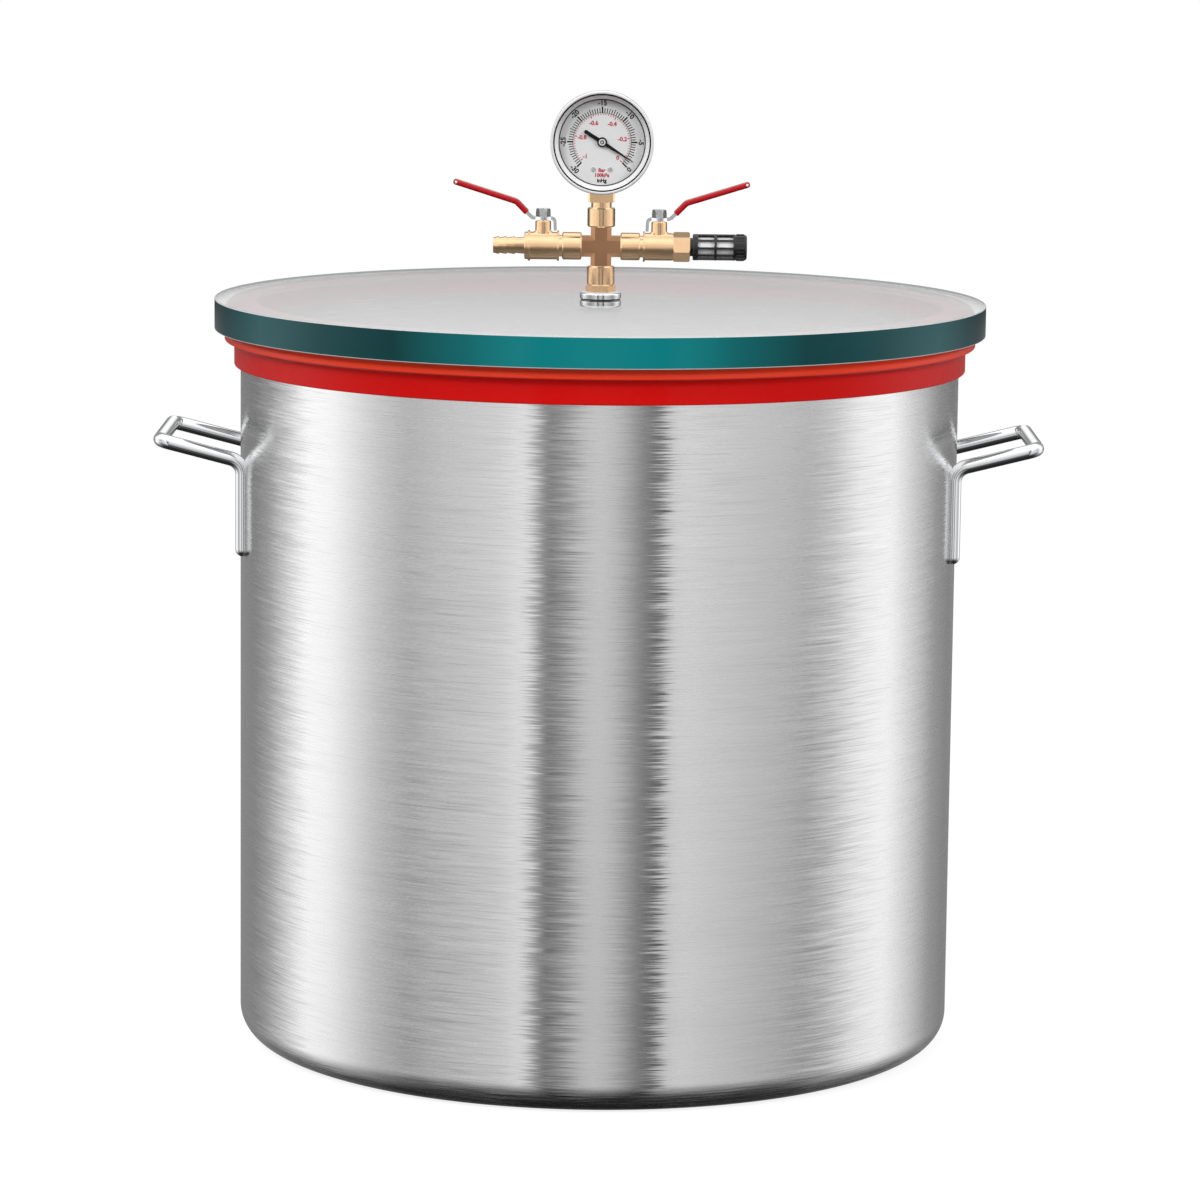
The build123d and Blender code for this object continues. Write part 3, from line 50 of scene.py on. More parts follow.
def hide_from(thing, *rays):
    """Keeps an object out of some kinds of ray: glossy, transmission or camera."""
    for ray in rays:
        setattr(thing, "visible_" + ray, False)


# ---------------------------------------------------------------- shader helpers
class NodeTree:
    """A tree of shader nodes, and short ways to add to it."""

    def __init__(self, tree):
        self.tree = tree

    def node(self, kind, **settings):
        made = self.tree.nodes.new("ShaderNode" + kind)
        for key, value in settings.items():
            setattr(made, key, value)
        return made

    def feed(self, socket, value):
        """Links a socket, or sets its constant."""
        if isinstance(value, bpy.types.NodeSocket):
            self.tree.links.new(value, socket)
        elif value is not None:
            socket.default_value = value

    def math(self, operation, a, b=None):
        made = self.node("Math", operation=operation)
        self.feed(made.inputs[0], a)
        self.feed(made.inputs[1], b)
        return made.outputs[0]

    def vector(self, operation, a, b=None, scale=None):
        made = self.node("VectorMath", operation=operation)
        self.feed(made.inputs[0], a)
        self.feed(made.inputs[1], b)
        if scale is not None:
            self.feed(made.inputs["Scale"], scale)
        return made.outputs["Value" if operation == "LENGTH" else "Vector"]

    def split(self, value):
        """The X, Y and Z of a vector."""
        made = self.node("SeparateXYZ")
        self.feed(made.inputs[0], value)
        return made.outputs

    def place(self, stretch=(1.0, 1.0, 1.0)):
        """Object coordinates in metres, each axis multiplied."""
        coordinates = self.node("TexCoord").outputs["Object"]
        return self.vector("MULTIPLY", coordinates, stretch)

    def turned_place(self, stretch):
        """Object coordinates with the distance from the axis added to the height, each axis multiplied."""
        x, y, z = self.split(self.place())
        out = self.vector("LENGTH", self.place((1.0, 1.0, 0.0)))
        joined = self.node("CombineXYZ")
        for socket, value in zip(joined.inputs, (x, y, self.math("ADD", z, out))):
            self.feed(socket, value)
        return self.vector("MULTIPLY", joined.outputs[0], stretch)

    def noise(self, scale, detail=2.0, where=None):
        """Noise from 0 to 1, in object coordinates unless where says otherwise."""
        made = self.node("TexNoise")
        self.feed(made.inputs["Vector"], self.place() if where is None else where)
        self.feed(made.inputs["Scale"], scale)
        self.feed(made.inputs["Detail"], detail)
        return made.outputs["Fac"]

    def remap(self, value, low, high, to_low, to_high):
        made = self.node("MapRange")
        for socket, number in zip(made.inputs, (value, low, high, to_low, to_high)):
            self.feed(socket, number)
        return made.outputs["Result"]

    def ramp(self, value, stops):
        """A colour by value, from stops of (position, colour), where a colour may be one grey level."""
        made = self.node("ValToRGB")
        elements = made.color_ramp.elements
        while len(elements) > 1:
            elements.remove(elements[0])
        for number, (position, colour) in enumerate(stops):
            element = elements.new(position) if number else elements[0]
            element.position = position
            element.color = (colour if isinstance(colour, tuple) else (colour,) * 3) + (1.0,)
        self.feed(made.inputs["Fac"], value)
        return made.outputs["Color"]

    def mix(self, factor, a, b, mode="MIX"):
        """Mixes two colours: a at factor 0, b at 1."""
        made = self.node("Mix", data_type="RGBA", blend_type=mode)
        self.feed(made.inputs["Factor"], factor)
        self.feed(made.inputs[6], a + (1.0,) if isinstance(a, tuple) else a)
        self.feed(made.inputs[7], b + (1.0,) if isinstance(b, tuple) else b)
        return made.outputs[2]

    def blend(self, factor, a, b):
        """Mixes two shaders: a at factor 0, b at 1."""
        made = self.node("MixShader")
        for socket, value in zip(made.inputs, (factor, a, b)):
            self.feed(socket, value)
        return made.outputs[0]

    def bump(self, height, distance, strength):
        made = self.node("Bump")
        self.feed(made.inputs["Strength"], strength)
        self.feed(made.inputs["Distance"], distance)
        self.feed(made.inputs["Height"], height)
        return made.outputs["Normal"]


class Shader(NodeTree):
    """A material with one Principled shader."""

    def __init__(self, name, **constants):
        self.material = bpy.data.materials.new(name)
        self.material.use_nodes = True
        super().__init__(self.material.node_tree)
        self.principled = self.tree.nodes["Principled BSDF"]
        self.output = self.tree.nodes["Material Output"]
        self.set(**constants)

    def set(self, **sockets):
        """Feeds the Principled shader's sockets, named with underscores for spaces."""
        for socket, value in sockets.items():
            self.feed(self.principled.inputs[socket.replace("_", " ")], value)

    def finish_with(self, surface):
        """Puts another shader in the Principled shader's place at the output."""
        self.feed(self.output.inputs["Surface"], surface)


# ---------------------------------------------------------------- materials
HAIRLINE = (40.0, 40.0, 2600.0)     # the brush lines' cells to the metre, across and up
STREAK = (18.0, 18.0, 900.0)
BROAD = (5.0, 5.0, 40.0)
SWAY = 0.032                        # how far the brush wanders, as a part of the normal's length
CAST_REACH = 0.0122                 # how far the cross's cast skin reaches from its centre
CAST_FADE = 0.0003


def brushed_steel():
    """Sheet steel brushed round the pot: fine level lines, so the gloss is stretched upright."""
    s = Shader("brushed_steel", Metallic=1.0, Anisotropic=0.95, Anisotropic_Rotation=0.25)
    s.set(Tangent=s.node("Tangent", direction_type="RADIAL", axis="Z").outputs["Tangent"])
    hairline = s.noise(1.0, where=s.turned_place(HAIRLINE))
    streak = s.noise(1.0, where=s.turned_place(STREAK))
    broad = s.noise(1.0, where=s.turned_place(BROAD))
    lines = s.math("ADD", s.math("MULTIPLY", hairline, 0.6), s.math("MULTIPLY", streak, 0.4))
    tone = s.math("ADD", lines, s.math("MULTIPLY", broad, 0.08))
    s.set(Base_Color=s.ramp(tone, [(0.38, 0.66), (0.54, 0.79), (0.70, 0.90)]))
    s.set(Roughness=s.remap(lines, 0.38, 0.62, 0.12, 0.30))
    # the brush wanders a little, so the edge of a reflection is ragged
    flat = s.node("NewGeometry").outputs["Normal"]
    around = s.vector("CROSS_PRODUCT", (0.0, 0.0, 1.0), flat)
    sway = s.vector("SCALE", around, scale=s.remap(lines, 0.35, 0.65, -SWAY, SWAY))
    s.set(Normal=s.vector("NORMALIZE", s.vector("ADD", flat, sway)))
    return s.material


def chrome(name, colour=(0.86, 0.87, 0.88), roughness=0.06, metallic=1.0):
    """Polished, plated or satin metal with a faint cloud in its gloss."""
    s = Shader(name, Metallic=metallic)
    grain = s.noise(900.0, 3.0)
    s.set(Base_Color=s.mix(grain, tuple(c * 0.95 for c in colour), colour))
    s.set(Roughness=s.remap(grain, 0.3, 0.7, roughness * 0.7, roughness * 1.4))
    return s.material


def brass(name, cast_heart=None):
    """Tumbled brass: soft gloss with a fine grain; as cast, browner and duller, near cast_heart."""
    s = Shader(name, Metallic=1.0)
    cloud = s.noise(90.0, 3.0)
    grain = s.noise(1400.0, 3.0)
    colour = s.mix(cloud, (0.90, 0.56, 0.31), (1.0, 0.70, 0.43))
    gloss = s.remap(grain, 0.3, 0.7, 0.12, 0.20)
    if cast_heart:
        offset = s.split(s.vector("ABSOLUTE", s.vector("SUBTRACT", s.place(), cast_heart)))
        widest = s.math("MAXIMUM", offset["X"], offset["Z"])
        cast = s.remap(widest, CAST_REACH - CAST_FADE, CAST_REACH, 1.0, 0.0)
        colour = s.mix(cast, colour, s.mix(cloud, (0.50, 0.25, 0.13), (0.62, 0.34, 0.19)))
        gloss = s.remap(cast, 0.0, 1.0, gloss, 0.34)
    s.set(Base_Color=colour, Roughness=gloss, Normal=s.bump(grain, 0.00002, 0.3))
    return s.material


def rubber(name, low, high, roughness=0.4, coat=0.0, gloss=0.5):
    """Rubber, vinyl, moulded plastic or print: a soft cloud from low to high and a very fine grain."""
    s = Shader(name, Coat_Weight=coat, Coat_Roughness=0.08, Specular_IOR_Level=gloss)
    grain = s.noise(220.0, 4.0)
    s.set(Base_Color=s.mix(grain, low, high))
    s.set(Roughness=s.remap(grain, 0.3, 0.7, roughness - 0.06, roughness + 0.06))
    s.set(Normal=s.bump(s.noise(2600.0), 0.00003, 0.3))
    return s.material


def clear_glass(name, colour, index=1.5):
    """Glass that lets lamps and soft light straight through, so that what lies under it is lit."""
    s = Shader(name, Transmission_Weight=1.0, IOR=index, Roughness=0.0)
    s.set(Base_Color=s.mix(s.noise(8.0), colour, tuple(min(1.0, c * 1.02) for c in colour)))
    window = s.node("BsdfTransparent")
    s.feed(window.inputs["Color"], tuple(c * 0.95 for c in colour) + (1.0,))
    path = s.node("LightPath")
    open_way = s.math("MAXIMUM", path.outputs["Is Shadow Ray"], path.outputs["Is Diffuse Ray"])
    s.finish_with(s.blend(open_way, s.principled.outputs[0], window.outputs[0]))
    return s.material


def deep_glass_edge():
    """The long way through thick glass gives the deep green. As the face turns away it darkens in painted
    shade, with a paler band of painted reflection between.
    """
    s = Shader("lid_edge_glass", Roughness=0.15, Specular_IOR_Level=0.12)
    s.set(Coat_Weight=0.04, Coat_Roughness=0.05)
    turned = s.node("LayerWeight")
    s.feed(turned.inputs["Blend"], 0.5)
    # painted light: the green darkens as the face turns away (painted shade), with a paler band between (a
    # painted reflection of the studio cards)
    tint_with_painted_light = s.ramp(turned.outputs["Facing"], [
        (0.0, (0.003, 0.225, 0.240)), (0.03, (0.002, 0.210, 0.222)), (0.07, (0.001, 0.130, 0.138)),
        (0.16, (0.001, 0.042, 0.045)), (0.32, (0.006, 0.060, 0.066)), (0.53, (0.030, 0.120, 0.130)),
        (0.78, (0.004, 0.036, 0.044)), (1.0, (0.002, 0.020, 0.026)),
    ])
    s.set(Base_Color=s.mix(s.remap(s.noise(14.0), 0.3, 0.7, 0.0, 0.12), tint_with_painted_light, (0.002, 0.16, 0.17)))
    return s.material


MATERIALS = {
    "pot_steel": brushed_steel(),
    "handle_steel": chrome("polished_rod"),
    "gasket_silicone": rubber("red_silicone", (0.66, 0.0, 0.0), (0.74, 0.003, 0.001), 0.42, 0.10, 0.15),
    "lid_glass": clear_glass("lid_glass", (0.96, 0.97, 0.97)),
    "fitting_chrome": chrome("plated_fitting", roughness=0.1),
    "black_rubber": rubber("black_rubber", (0.012, 0.012, 0.012), (0.02, 0.02, 0.02)),
    "brass": brass("turned_brass"),
    "movement_brass": brass("movement_brass"),
    "ball_chrome": chrome("ball_chrome", roughness=0.04),
    "ptfe": rubber("white_ptfe", (0.82, 0.82, 0.80), (0.87, 0.87, 0.85)),
    "lever_steel": chrome("plated_lever", roughness=0.1),
    "grip_vinyl": rubber("red_vinyl", (0.48, 0.0, 0.004), (0.54, 0.0, 0.006), 0.28, 0.3, 0.25),
    "gauge_steel": chrome("gauge_steel", (0.95, 0.95, 0.95), 0.08),
    "gauge_glass": clear_glass("gauge_glass", (1.0, 1.0, 1.0), 1.22),
    "dial_white": rubber("dial_white", (0.90, 0.90, 0.90), (0.94, 0.94, 0.94)),
    "pointer_black": rubber("pointer_black", (0.003, 0.003, 0.003), (0.006, 0.006, 0.006), 0.5, 0.0, 0.1),
    "muffler_black": rubber("muffler_black", (0.012, 0.012, 0.013), (0.018, 0.018, 0.02), 0.2, 0.3, 0.3),
    "muffler_felt": rubber("muffler_felt", (0.92, 0.92, 0.92), (0.98, 0.98, 0.98), 0.8),
}
OWN_FINISH = {"cross_fitting": brass("cast_cross", cast_heart=centre_of("cross_fitting"))}
GLASS_EDGE = deep_glass_edge()
GROUND_GLASS = rubber("ground_glass_corner", (0.62, 0.66, 0.65), (0.78, 0.80, 0.79), 0.35, 0.2)
# painted light: a lighter orange copy of the red silicone for the lip, as if lit from above
GASKET_LIP_PAINTED_LIT = rubber("red_silicone_lip_painted_lit", (0.95, 0.040, 0.010), (1.0, 0.055, 0.015), 0.40, 0.15, 0.2)
# painted reflection: a pale pink copy of the red silicone for the pad, standing in for the glass's pale
# reflection over the red
GASKET_PAD_PAINTED_REFLECTION = rubber("red_silicone_pad_painted_reflection", (0.84, 0.30, 0.32), (0.90, 0.36, 0.38), 0.5, 0.0, 0.2)
SATIN_STEEL = chrome("satin_bevel", (0.97, 0.97, 0.97), 0.42, metallic=0.45)
PRINT_BLACK = rubber("dial_print_black", (0.003, 0.003, 0.003), (0.006, 0.006, 0.006), 0.5, 0.0, 0.1)
PRINT_RED = rubber("dial_print_red", (0.56, 0.03, 0.05), (0.62, 0.04, 0.06), 0.5)
PRINT_WHITE = rubber("dial_print_white", (0.80, 0.80, 0.80), (0.86, 0.86, 0.86), 0.5)


def dress():
    """Gives every carried-over CAD node its own finish, or else the material of its slot."""
    for name, node in NODES.items():
        slot = node.data.materials[0].name.split(".")[0]
        node.data.materials.clear()
        node.data.materials.append(OWN_FINISH.get(name, MATERIALS[slot]))


def keep_lid_clear(standing=0.01):
    """Leaves what stands on the lid out of its gloss, so that the glass shows the studio alone."""
    lid_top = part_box("lid_plate")[1][2]
    gauge_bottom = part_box("gauge_bezel")[0][2]
    for name, node in NODES.items():
        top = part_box(name)[1][2]
        if top > lid_top + standing:
            hide_from(node, "glossy")
            if top <= gauge_bottom:
                hide_from(node, "transmission")


# ---------------------------------------------------------------- mesh helpers
WELD_DISTANCE = 1e-7     # joins the points of an open outline's end that lie on the axis
SHARP_EDGE = 35.0        # in degrees; flatter edges are shaded smooth


def piece_from(name, vertices, faces, material, face_materials=None, weld=False):
    """A new piece from a mesh in metres, with one material or a list of them."""
    mesh = bpy.data.meshes.new(name)
    mesh.from_pydata(vertices, [], faces)
    for entry in material if isinstance(material, list) else [material]:
        mesh.materials.append(entry)
    if face_materials:
        mesh.polygons.foreach_set("material_index", face_materials)
    mesh.validate()
    shape = bmesh.new()
    shape.from_mesh(mesh)
    if weld:
        bmesh.ops.remove_doubles(shape, verts=shape.verts, dist=WELD_DISTANCE)
    bmesh.ops.recalc_face_normals(shape, faces=shape.faces)
    for face in shape.faces:
        face.smooth = True
    for edge in shape.edges:
        edge.smooth = len(edge.link_faces) == 2 and degrees(edge.calc_face_angle(0.0)) < SHARP_EDGE
    shape.to_mesh(mesh)
    shape.free()
    made = bpy.data.objects.new(name, mesh)
    bpy.context.scene.collection.objects.link(made)
    return made


def arc(centre, radius, start, stop, steps):
    """Points along an arc, with angles in degrees."""
    turns = [radians(start + (stop - start) * step / steps) for step in range(steps + 1)]
    return [(centre[0] + radius * cos(turn), centre[1] + radius * sin(turn)) for turn in turns]


def lathe(name, outline, material, steps, along="Z", origin=(0.0, 0.0, 0.0), bands=None, closed=True):
    """Turns (radius, distance along the axis) points round Z or Y, with a material number for each row."""
    vertices, faces, face_materials = [], [], []
    count = len(outline)
    for step in range(steps):
        turn = 2 * pi * step / steps
        for radius, rise in outline:
            across, up = radius * cos(turn), radius * sin(turn)
            place = (across, up, rise) if along == "Z" else (across, rise, up)
            vertices.append(tuple(a + b for a, b in zip(place, origin)))
    for step in range(steps):
        here, there = step * count, (step + 1) % steps * count
        for row in range(count if closed else count - 1):
            after = (row + 1) % count
            faces.append((here + row, here + after, there + after, there + row))
            face_materials.append(bands[row] if bands else 0)
    return piece_from(name, vertices, faces, material, face_materials, weld=not closed)


def place_piece(piece, body, slot, *nodes):
    """Says what a piece rides on and which CAD nodes it replaces, which it hides; slot is not used."""
    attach(piece, body)
    if nodes:
        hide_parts(*nodes)


# ---------------------------------------------------------------- pot, gasket and lid
ROUND = 512              # steps in a turn of the pot, the gasket and the lid


def pot():
    """The drawn cup again, with a finer turn than the CAD mesh."""
    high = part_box("pot_body")[1]
    radius, height = high[0], high[2]
    wall, corner, lip = 0.002, 0.019, 0.0004
    inside = radius - wall
    outer_arc = arc((radius - corner, corner), corner, -90, 0, 20)
    inner_arc = arc((radius - corner, corner), corner - wall, 0, -90, 20)
    rim = [(radius, height - lip), (radius - lip, height), (inside + lip, height), (inside, height - lip)]
    outline = [(0.0, 0.0)] + outer_arc + rim + inner_arc + [(0.0, wall)]
    made = lathe("pot_shell", outline, MATERIALS["pot_steel"], ROUND, closed=False)
    place_piece(made, "chamber", "pot_steel", "pot_body")


def gasket():
    """A pad under the lid, a drooping lip and a band outside the wall, with rounded edges."""
    low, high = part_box("lid_gasket")
    lip_radius, band_bottom, pad_top = high[0], low[2], high[2]
    pot_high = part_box("pot_body")[1]
    wall, rim = pot_high[0], pot_high[2]
    band, tip = wall + 0.004, pad_top - 0.006
    pad_inside, pad_lift, edge = 0.215, 0.0008, 0.0008
    # out from the wall and down from the pad's top
    shoulder = [(0.0060, 0.0), (0.0072, 0.0006), (0.0085, 0.0018), (0.0094, 0.0032)]
    # out from the band and down from the lip's tip
    under_lip = [(0.0030, 0.0010), (0.0012, 0.0024), (0.0003, 0.0040), (0.0, 0.0055)]
    # in from the wall's outside and down from the rim: the seat, and a rib that hangs inside
    rib = [(0.0, 0.0), (0.0020, 0.0), (0.0020, 0.010), (0.0043, 0.010), (0.0055, 0.0)]
    outline = [(pad_inside, rim + pad_lift), (pad_inside, pad_top)]
    outline += [(wall + out, pad_top - down) for out, down in shoulder]
    outline += [(lip_radius - 0.0001, tip + 0.0008)]
    outline += arc((lip_radius - edge, tip), edge, 0, -110, 6)
    outline += [(band + out, tip - down) for out, down in under_lip]
    outline += arc((band - edge, band_bottom + edge), edge, 0, -90, 4)
    outline += [(wall, band_bottom)]
    outline += [(wall - inward, rim - down) for inward, down in rib]
    pad_rows, lip_rows = 2, 9
    # the lip's rows take the lighter orange copy of the silicone: painted light from above
    bands = [2] * pad_rows + [1] * lip_rows + [0] * (len(outline) - pad_rows - lip_rows)
    # the pad's rows take the pale pink copy: a painted reflection of the glass over the red
    silicone = [MATERIALS["gasket_silicone"], GASKET_LIP_PAINTED_LIT, GASKET_PAD_PAINTED_REFLECTION]
    made = lathe("gasket_ring", outline, silicone, ROUND, bands=bands)
    hide_from(made, "glossy")
    place_piece(made, "chamber", "gasket_silicone", "lid_gasket")


def lid():
    """A thick glass disc: clear faces, and a deep green edge with small ground corners."""
    low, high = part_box("lid_plate")
    lift, drop = 0.00005, 0.00002       # keeps the glass off the gasket and inside the CAD box
    radius, bottom, top = min(high[0], high[1]), low[2] + lift, high[2] - drop
    hole, corner, corner_steps = 0.0068, 0.0005, 5
    lower = arc((radius - corner, bottom + corner), corner, -90, 0, corner_steps)
    upper = arc((radius - corner, top - corner), corner, 0, 90, corner_steps)
    # a ring of points beside each corner keeps the flat faces' smooth shading flat
    flat = radius - 2 * corner
    wall = [(radius, bottom + 2 * corner), (radius, top - 2 * corner)]
    outline = [(hole, bottom), (flat, bottom)] + lower + wall + upper + [(flat, top), (hole, top)]
    bands = [0] * 2 + [2] * corner_steps + [1] * 3 + [2] * corner_steps + [0] * 3
    glass = [MATERIALS["lid_glass"], GLASS_EDGE, GROUND_GLASS]
    made = lathe("lid_disc", outline, glass, ROUND, bands=bands)
    place_piece(made, "chamber", "lid_glass", "lid_plate")


# ---------------------------------------------------------------- gauge
GAUGE_CENTRE = (0.0, 0.0, centre_of("gauge_bezel")[2])
DIAL_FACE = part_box("gauge_dial")[0][1]
PRINT_LIFT = 0.00006
SCALE_START = -45.0      # in degrees from the right, turning up
SCALE_SWEEP = 270.0
INNER_SWEEP = SCALE_SWEEP * 0.985
CAPITAL = 0.72           # a capital's height as a part of the font's size
BOLDER = 0.00014         # how far the outline of a letter is moved out


def dial_point(angle, radius):
    """A point of the dial's print, with the angle in degrees from the right, turning up."""
    turn = radians(angle)
    return (radius * cos(turn), DIAL_FACE - PRINT_LIFT, GAUGE_CENTRE[2] + radius * sin(turn))


def add_arc(vertices, faces, sweep, radius, width, steps=90):
    """Adds a thin arc from the scale's start over the sweep."""
    for step in range(steps + 1):
        angle = SCALE_START + sweep * step / steps
        vertices += [dial_point(angle, radius - width / 2), dial_point(angle, radius + width / 2)]
        if step:
            last = len(vertices)
            faces.append((last - 4, last - 3, last - 1, last - 2))


def add_bar(vertices, faces, angle, inner, outer, width):
    """Adds a thin bar that lies along a radius."""
    first = len(vertices)
    for radius in (inner, outer):
        half = degrees(width / 2 / radius)
        vertices += [dial_point(angle - half, radius), dial_point(angle + half, radius)]
    faces.append((first, first + 1, first + 3, first + 2))


def dial_scale(name, line, bars, material):
    """A scale in one piece: its line as (sweep, radius, width) and its bars."""
    vertices, faces = [], []
    add_arc(vertices, faces, *line)
    for bar in bars:
        add_bar(vertices, faces, *bar)
    place_piece(piece_from(name, vertices, faces, material), "chamber", "pointer_black")


def dial_text(name, entries, material):
    """Flat print just off the dial: (text, angle, radius, height, turn), all joined in one piece."""
    vertices, faces = [], []
    for text, angle, radius, height, turn in entries:
        curve = bpy.data.curves.new("print", "FONT")
        curve.body = text
        curve.align_x = "CENTER"
        curve.align_y = "CENTER"
        curve.size = height / CAPITAL
        curve.offset = BOLDER
        curve.resolution_u = 3
        carrier = bpy.data.objects.new("print", curve)
        flat = bpy.data.meshes.new_from_object(carrier)
        place = Matrix.Translation(Vector(dial_point(angle, radius)))
        facing = Matrix.Rotation(pi / 2, 4, "X") @ Matrix.Rotation(radians(turn), 4, "Z")
        first = len(vertices)
        vertices += [tuple(place @ facing @ corner.co) for corner in flat.vertices]
        faces += [tuple(first + index for index in polygon.vertices) for polygon in flat.polygons]
        bpy.data.objects.remove(carrier)
        bpy.data.curves.remove(curve)
        bpy.data.meshes.remove(flat)
    place_piece(piece_from(name, vertices, faces, material), "chamber", "pointer_black")


def outer_scale():
    """Black bars that stand out from their line: one each half unit, long at fives, less long halfway."""
    spaces, inner = 60, 0.0180
    tall_end, middling_end, short_end = 0.0220, 0.0216, 0.0210
    bars = []
    for step in range(spaces + 1):
        tall = step % 10 == 0
        outer = tall_end if tall else (middling_end if step % 5 == 0 else short_end)
        width = 0.00095 if tall else 0.00055
        bars.append((SCALE_START + SCALE_SWEEP * step / spaces, inner, outer, width))
    dial_scale("dial_scale_outer", (SCALE_SWEEP, 0.0182, 0.00024), bars, PRINT_BLACK)


def inner_scale():
    """Red bars that stand in from their line, in fifty spaces, with each tenth bar longer."""
    spaces, outer = 50, 0.0176
    bars = []
    for step in range(spaces + 1):
        tall = step % 10 == 0
        inner = 0.0160 if tall else 0.0167
        width = 0.00060 if tall else 0.00036
        bars.append((SCALE_START + INNER_SWEEP * step / spaces, inner, outer, width))
    dial_scale("dial_scale_inner", (INNER_SWEEP, outer, 0.00014), bars, PRINT_RED)


def outer_numbers():
    """0 to -30 round the outer scale, with their tops outward, but inward for the two at the ends."""
    last, radius, height = 6, 0.0241, 0.0031
    numbers = []
    for step in range(last + 1):
        angle = SCALE_START + SCALE_SWEEP * step / last
        turn = angle + 90 if step in (0, last) else angle - 90
        numbers.append((str(-5 * step), angle, radius, height, turn))
    dial_text("dial_numbers_outer", numbers, PRINT_BLACK)


def inner_numbers():
    """0 to -1 inside the inner scale, all upright."""
    last, height = 5, 0.0026
    numbers = []
    for step, number in enumerate(("0", "-0.2", "-0.4", "-0.6", "-0.8", "-1")):
        angle = SCALE_START + INNER_SWEEP * step / last
        radius = 0.0138 if step in (0, last) else 0.0128
        numbers.append((number, angle, radius, height, 0))
    dial_text("dial_numbers_inner", numbers, PRINT_RED)


def units():
    """The names of the units, one under another at the bottom of the dial."""
    down, height = -90, 0.0023
    red = [("Bar", down, 0.0176, height, 0), ("100kPa", down, 0.0207, height, 0)]
    dial_text("dial_units_red", red, PRINT_RED)
    dial_text("dial_units_black", [("inHg", down, 0.0240, height, 0)], PRINT_BLACK)


def bezel():
    """A rolled satin rim, a groove that holds a black ring, and a bevel down to the lens."""
    low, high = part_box("gauge_bezel")
    radius, front, back = high[0], low[1], high[1]
    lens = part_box("gauge_lens")[0][1]
    groove_outer, groove_inner, groove_floor = 0.0304, 0.0295, front + 0.0016
    bevel_inner, opening, case_radius, roll = 0.0270, 0.0266, 0.0313, 0.0009
    outline = [(radius - 0.0010, back), (radius, back - 0.0003)]
    rim_start = len(outline)
    outline += arc((radius - roll, front + roll), roll, 0, -75, 8)
    outline += [(0.0310, front + 0.00002), (0.0306, front + 0.00006)]
    rim_stop = len(outline)
    outline += [(groove_outer, front + 0.0002), (groove_outer, groove_floor), (groove_inner, groove_floor)]
    bevel_row = len(outline)
    outline += [(groove_inner, front + 0.0003), (bevel_inner, lens - 0.0007), (opening, lens - 0.0004)]
    outline += [(opening, lens), (case_radius, lens), (case_radius, back)]
    satin_rows = [*range(rim_start, rim_stop), bevel_row, bevel_row + 1]
    bands = [1 if row in satin_rows else 0 for row in range(len(outline))]
    steel = [MATERIALS["gauge_steel"], SATIN_STEEL]
    made = lathe("bezel_ring", outline, steel, 256, "Y", GAUGE_CENTRE, bands)
    place_piece(made, "chamber", "gauge_steel", "gauge_bezel")
    bead = [(0.02952, front + 0.0014), (0.02952, front + 0.0004), (0.02975, front + 0.0001)]
    bead += [(0.03015, front + 0.0001), (0.03038, front + 0.0004), (0.03038, front + 0.0014)]
    black_ring("bezel_black_ring", bead)
    # painted shadow: a black ring in the gap at the lens's edge, where there is only shade
    shade = [(opening, lens - 0.0001), (bevel_inner, lens - 0.0008), (opening, lens - 0.0010)]
    shade += [(0.0264, lens - 0.0008)]
    black_ring("bezel_painted_shadow_ring", shade)


def black_ring(name, outline):
    """A thin black ring round the gauge's glass: a black ring in the groove, or painted shadow in the gap at
    the lens's edge.
    """
    ring = lathe(name, outline, PRINT_BLACK, 192, "Y", GAUGE_CENTRE)
    place_piece(ring, "chamber", "black_rubber")


def pointer_cap():
    """A white ring on the pointer's hub, round its black centre."""
    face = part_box("gauge_pointer")[0][1]
    inner, outer, raised = 0.0013, 0.0021, face - 0.00005
    ring = [(inner, raised), (outer, raised), (outer, face), (inner, face)]
    made = lathe("pointer_cap_ring", ring, PRINT_WHITE, 64, "Y", GAUGE_CENTRE)
    place_piece(made, "pointer_set", "dial_white")


# ---------------------------------------------------------------- studio
# Stops are (angle in degrees, brightness or share). The cards' angle goes round the object, with 0 at
# the front and 90 at the right. HEIGHTS and OVERHEAD go by the rise over the horizon, and the rest
# by the angle from the back, where 180 is the front.
CARDS = [
    (-180, 0.30), (-143, 0.32), (-130, 0.5), (-118, 0.95), (-106, 1.45), (-95, 1.3), (-75, 0.7),
    (-63, 0.47), (-57, 0.54), (-46, 0.68), (-30, 0.92), (-22, 1.25), (-17.5, 0.16), (-10, 0.40),
    (-5, 0.76), (0, 0.88), (5, 0.80), (9, 0.58), (14, 0.28), (19.5, 0.08), (22, 0.98), (29, 1.02),
    (44, 0.83), (70, 0.48), (79, 0.62), (92, 1.1), (107, 1.4), (120, 1.0), (138, 0.45), (155, 0.30),
    (180, 0.30),
]
UPPER_CARDS = [
    (-180, 0.03), (-132, 0.04), (-118, 0.10), (-108, 0.60), (-92, 1.45), (-50, 1.5), (-34, 0.95),
    (-16, 0.46), (0, 0.36), (18, 0.28), (34, 0.26), (48, 0.75), (62, 1.35), (92, 1.3), (108, 0.50),
    (118, 0.10), (132, 0.04), (180, 0.03),
]
BRIGHTEST = 1.5          # the brightest card
HEIGHTS = [(-90, 0.02), (-55, 0.03), (-34, 0.30), (-22, 0.72), (-14, 0.82), (-5, 1.0), (90, 1.0)]
OVERHEAD = [(-90, 0), (12, 0), (36, 0.62), (54, 1), (72, 0.85), (90, 0.35)]
BEHIND = [(0, 1), (3, 1), (10, 0.45), (26, 0.35), (34, 0), (180, 0)]
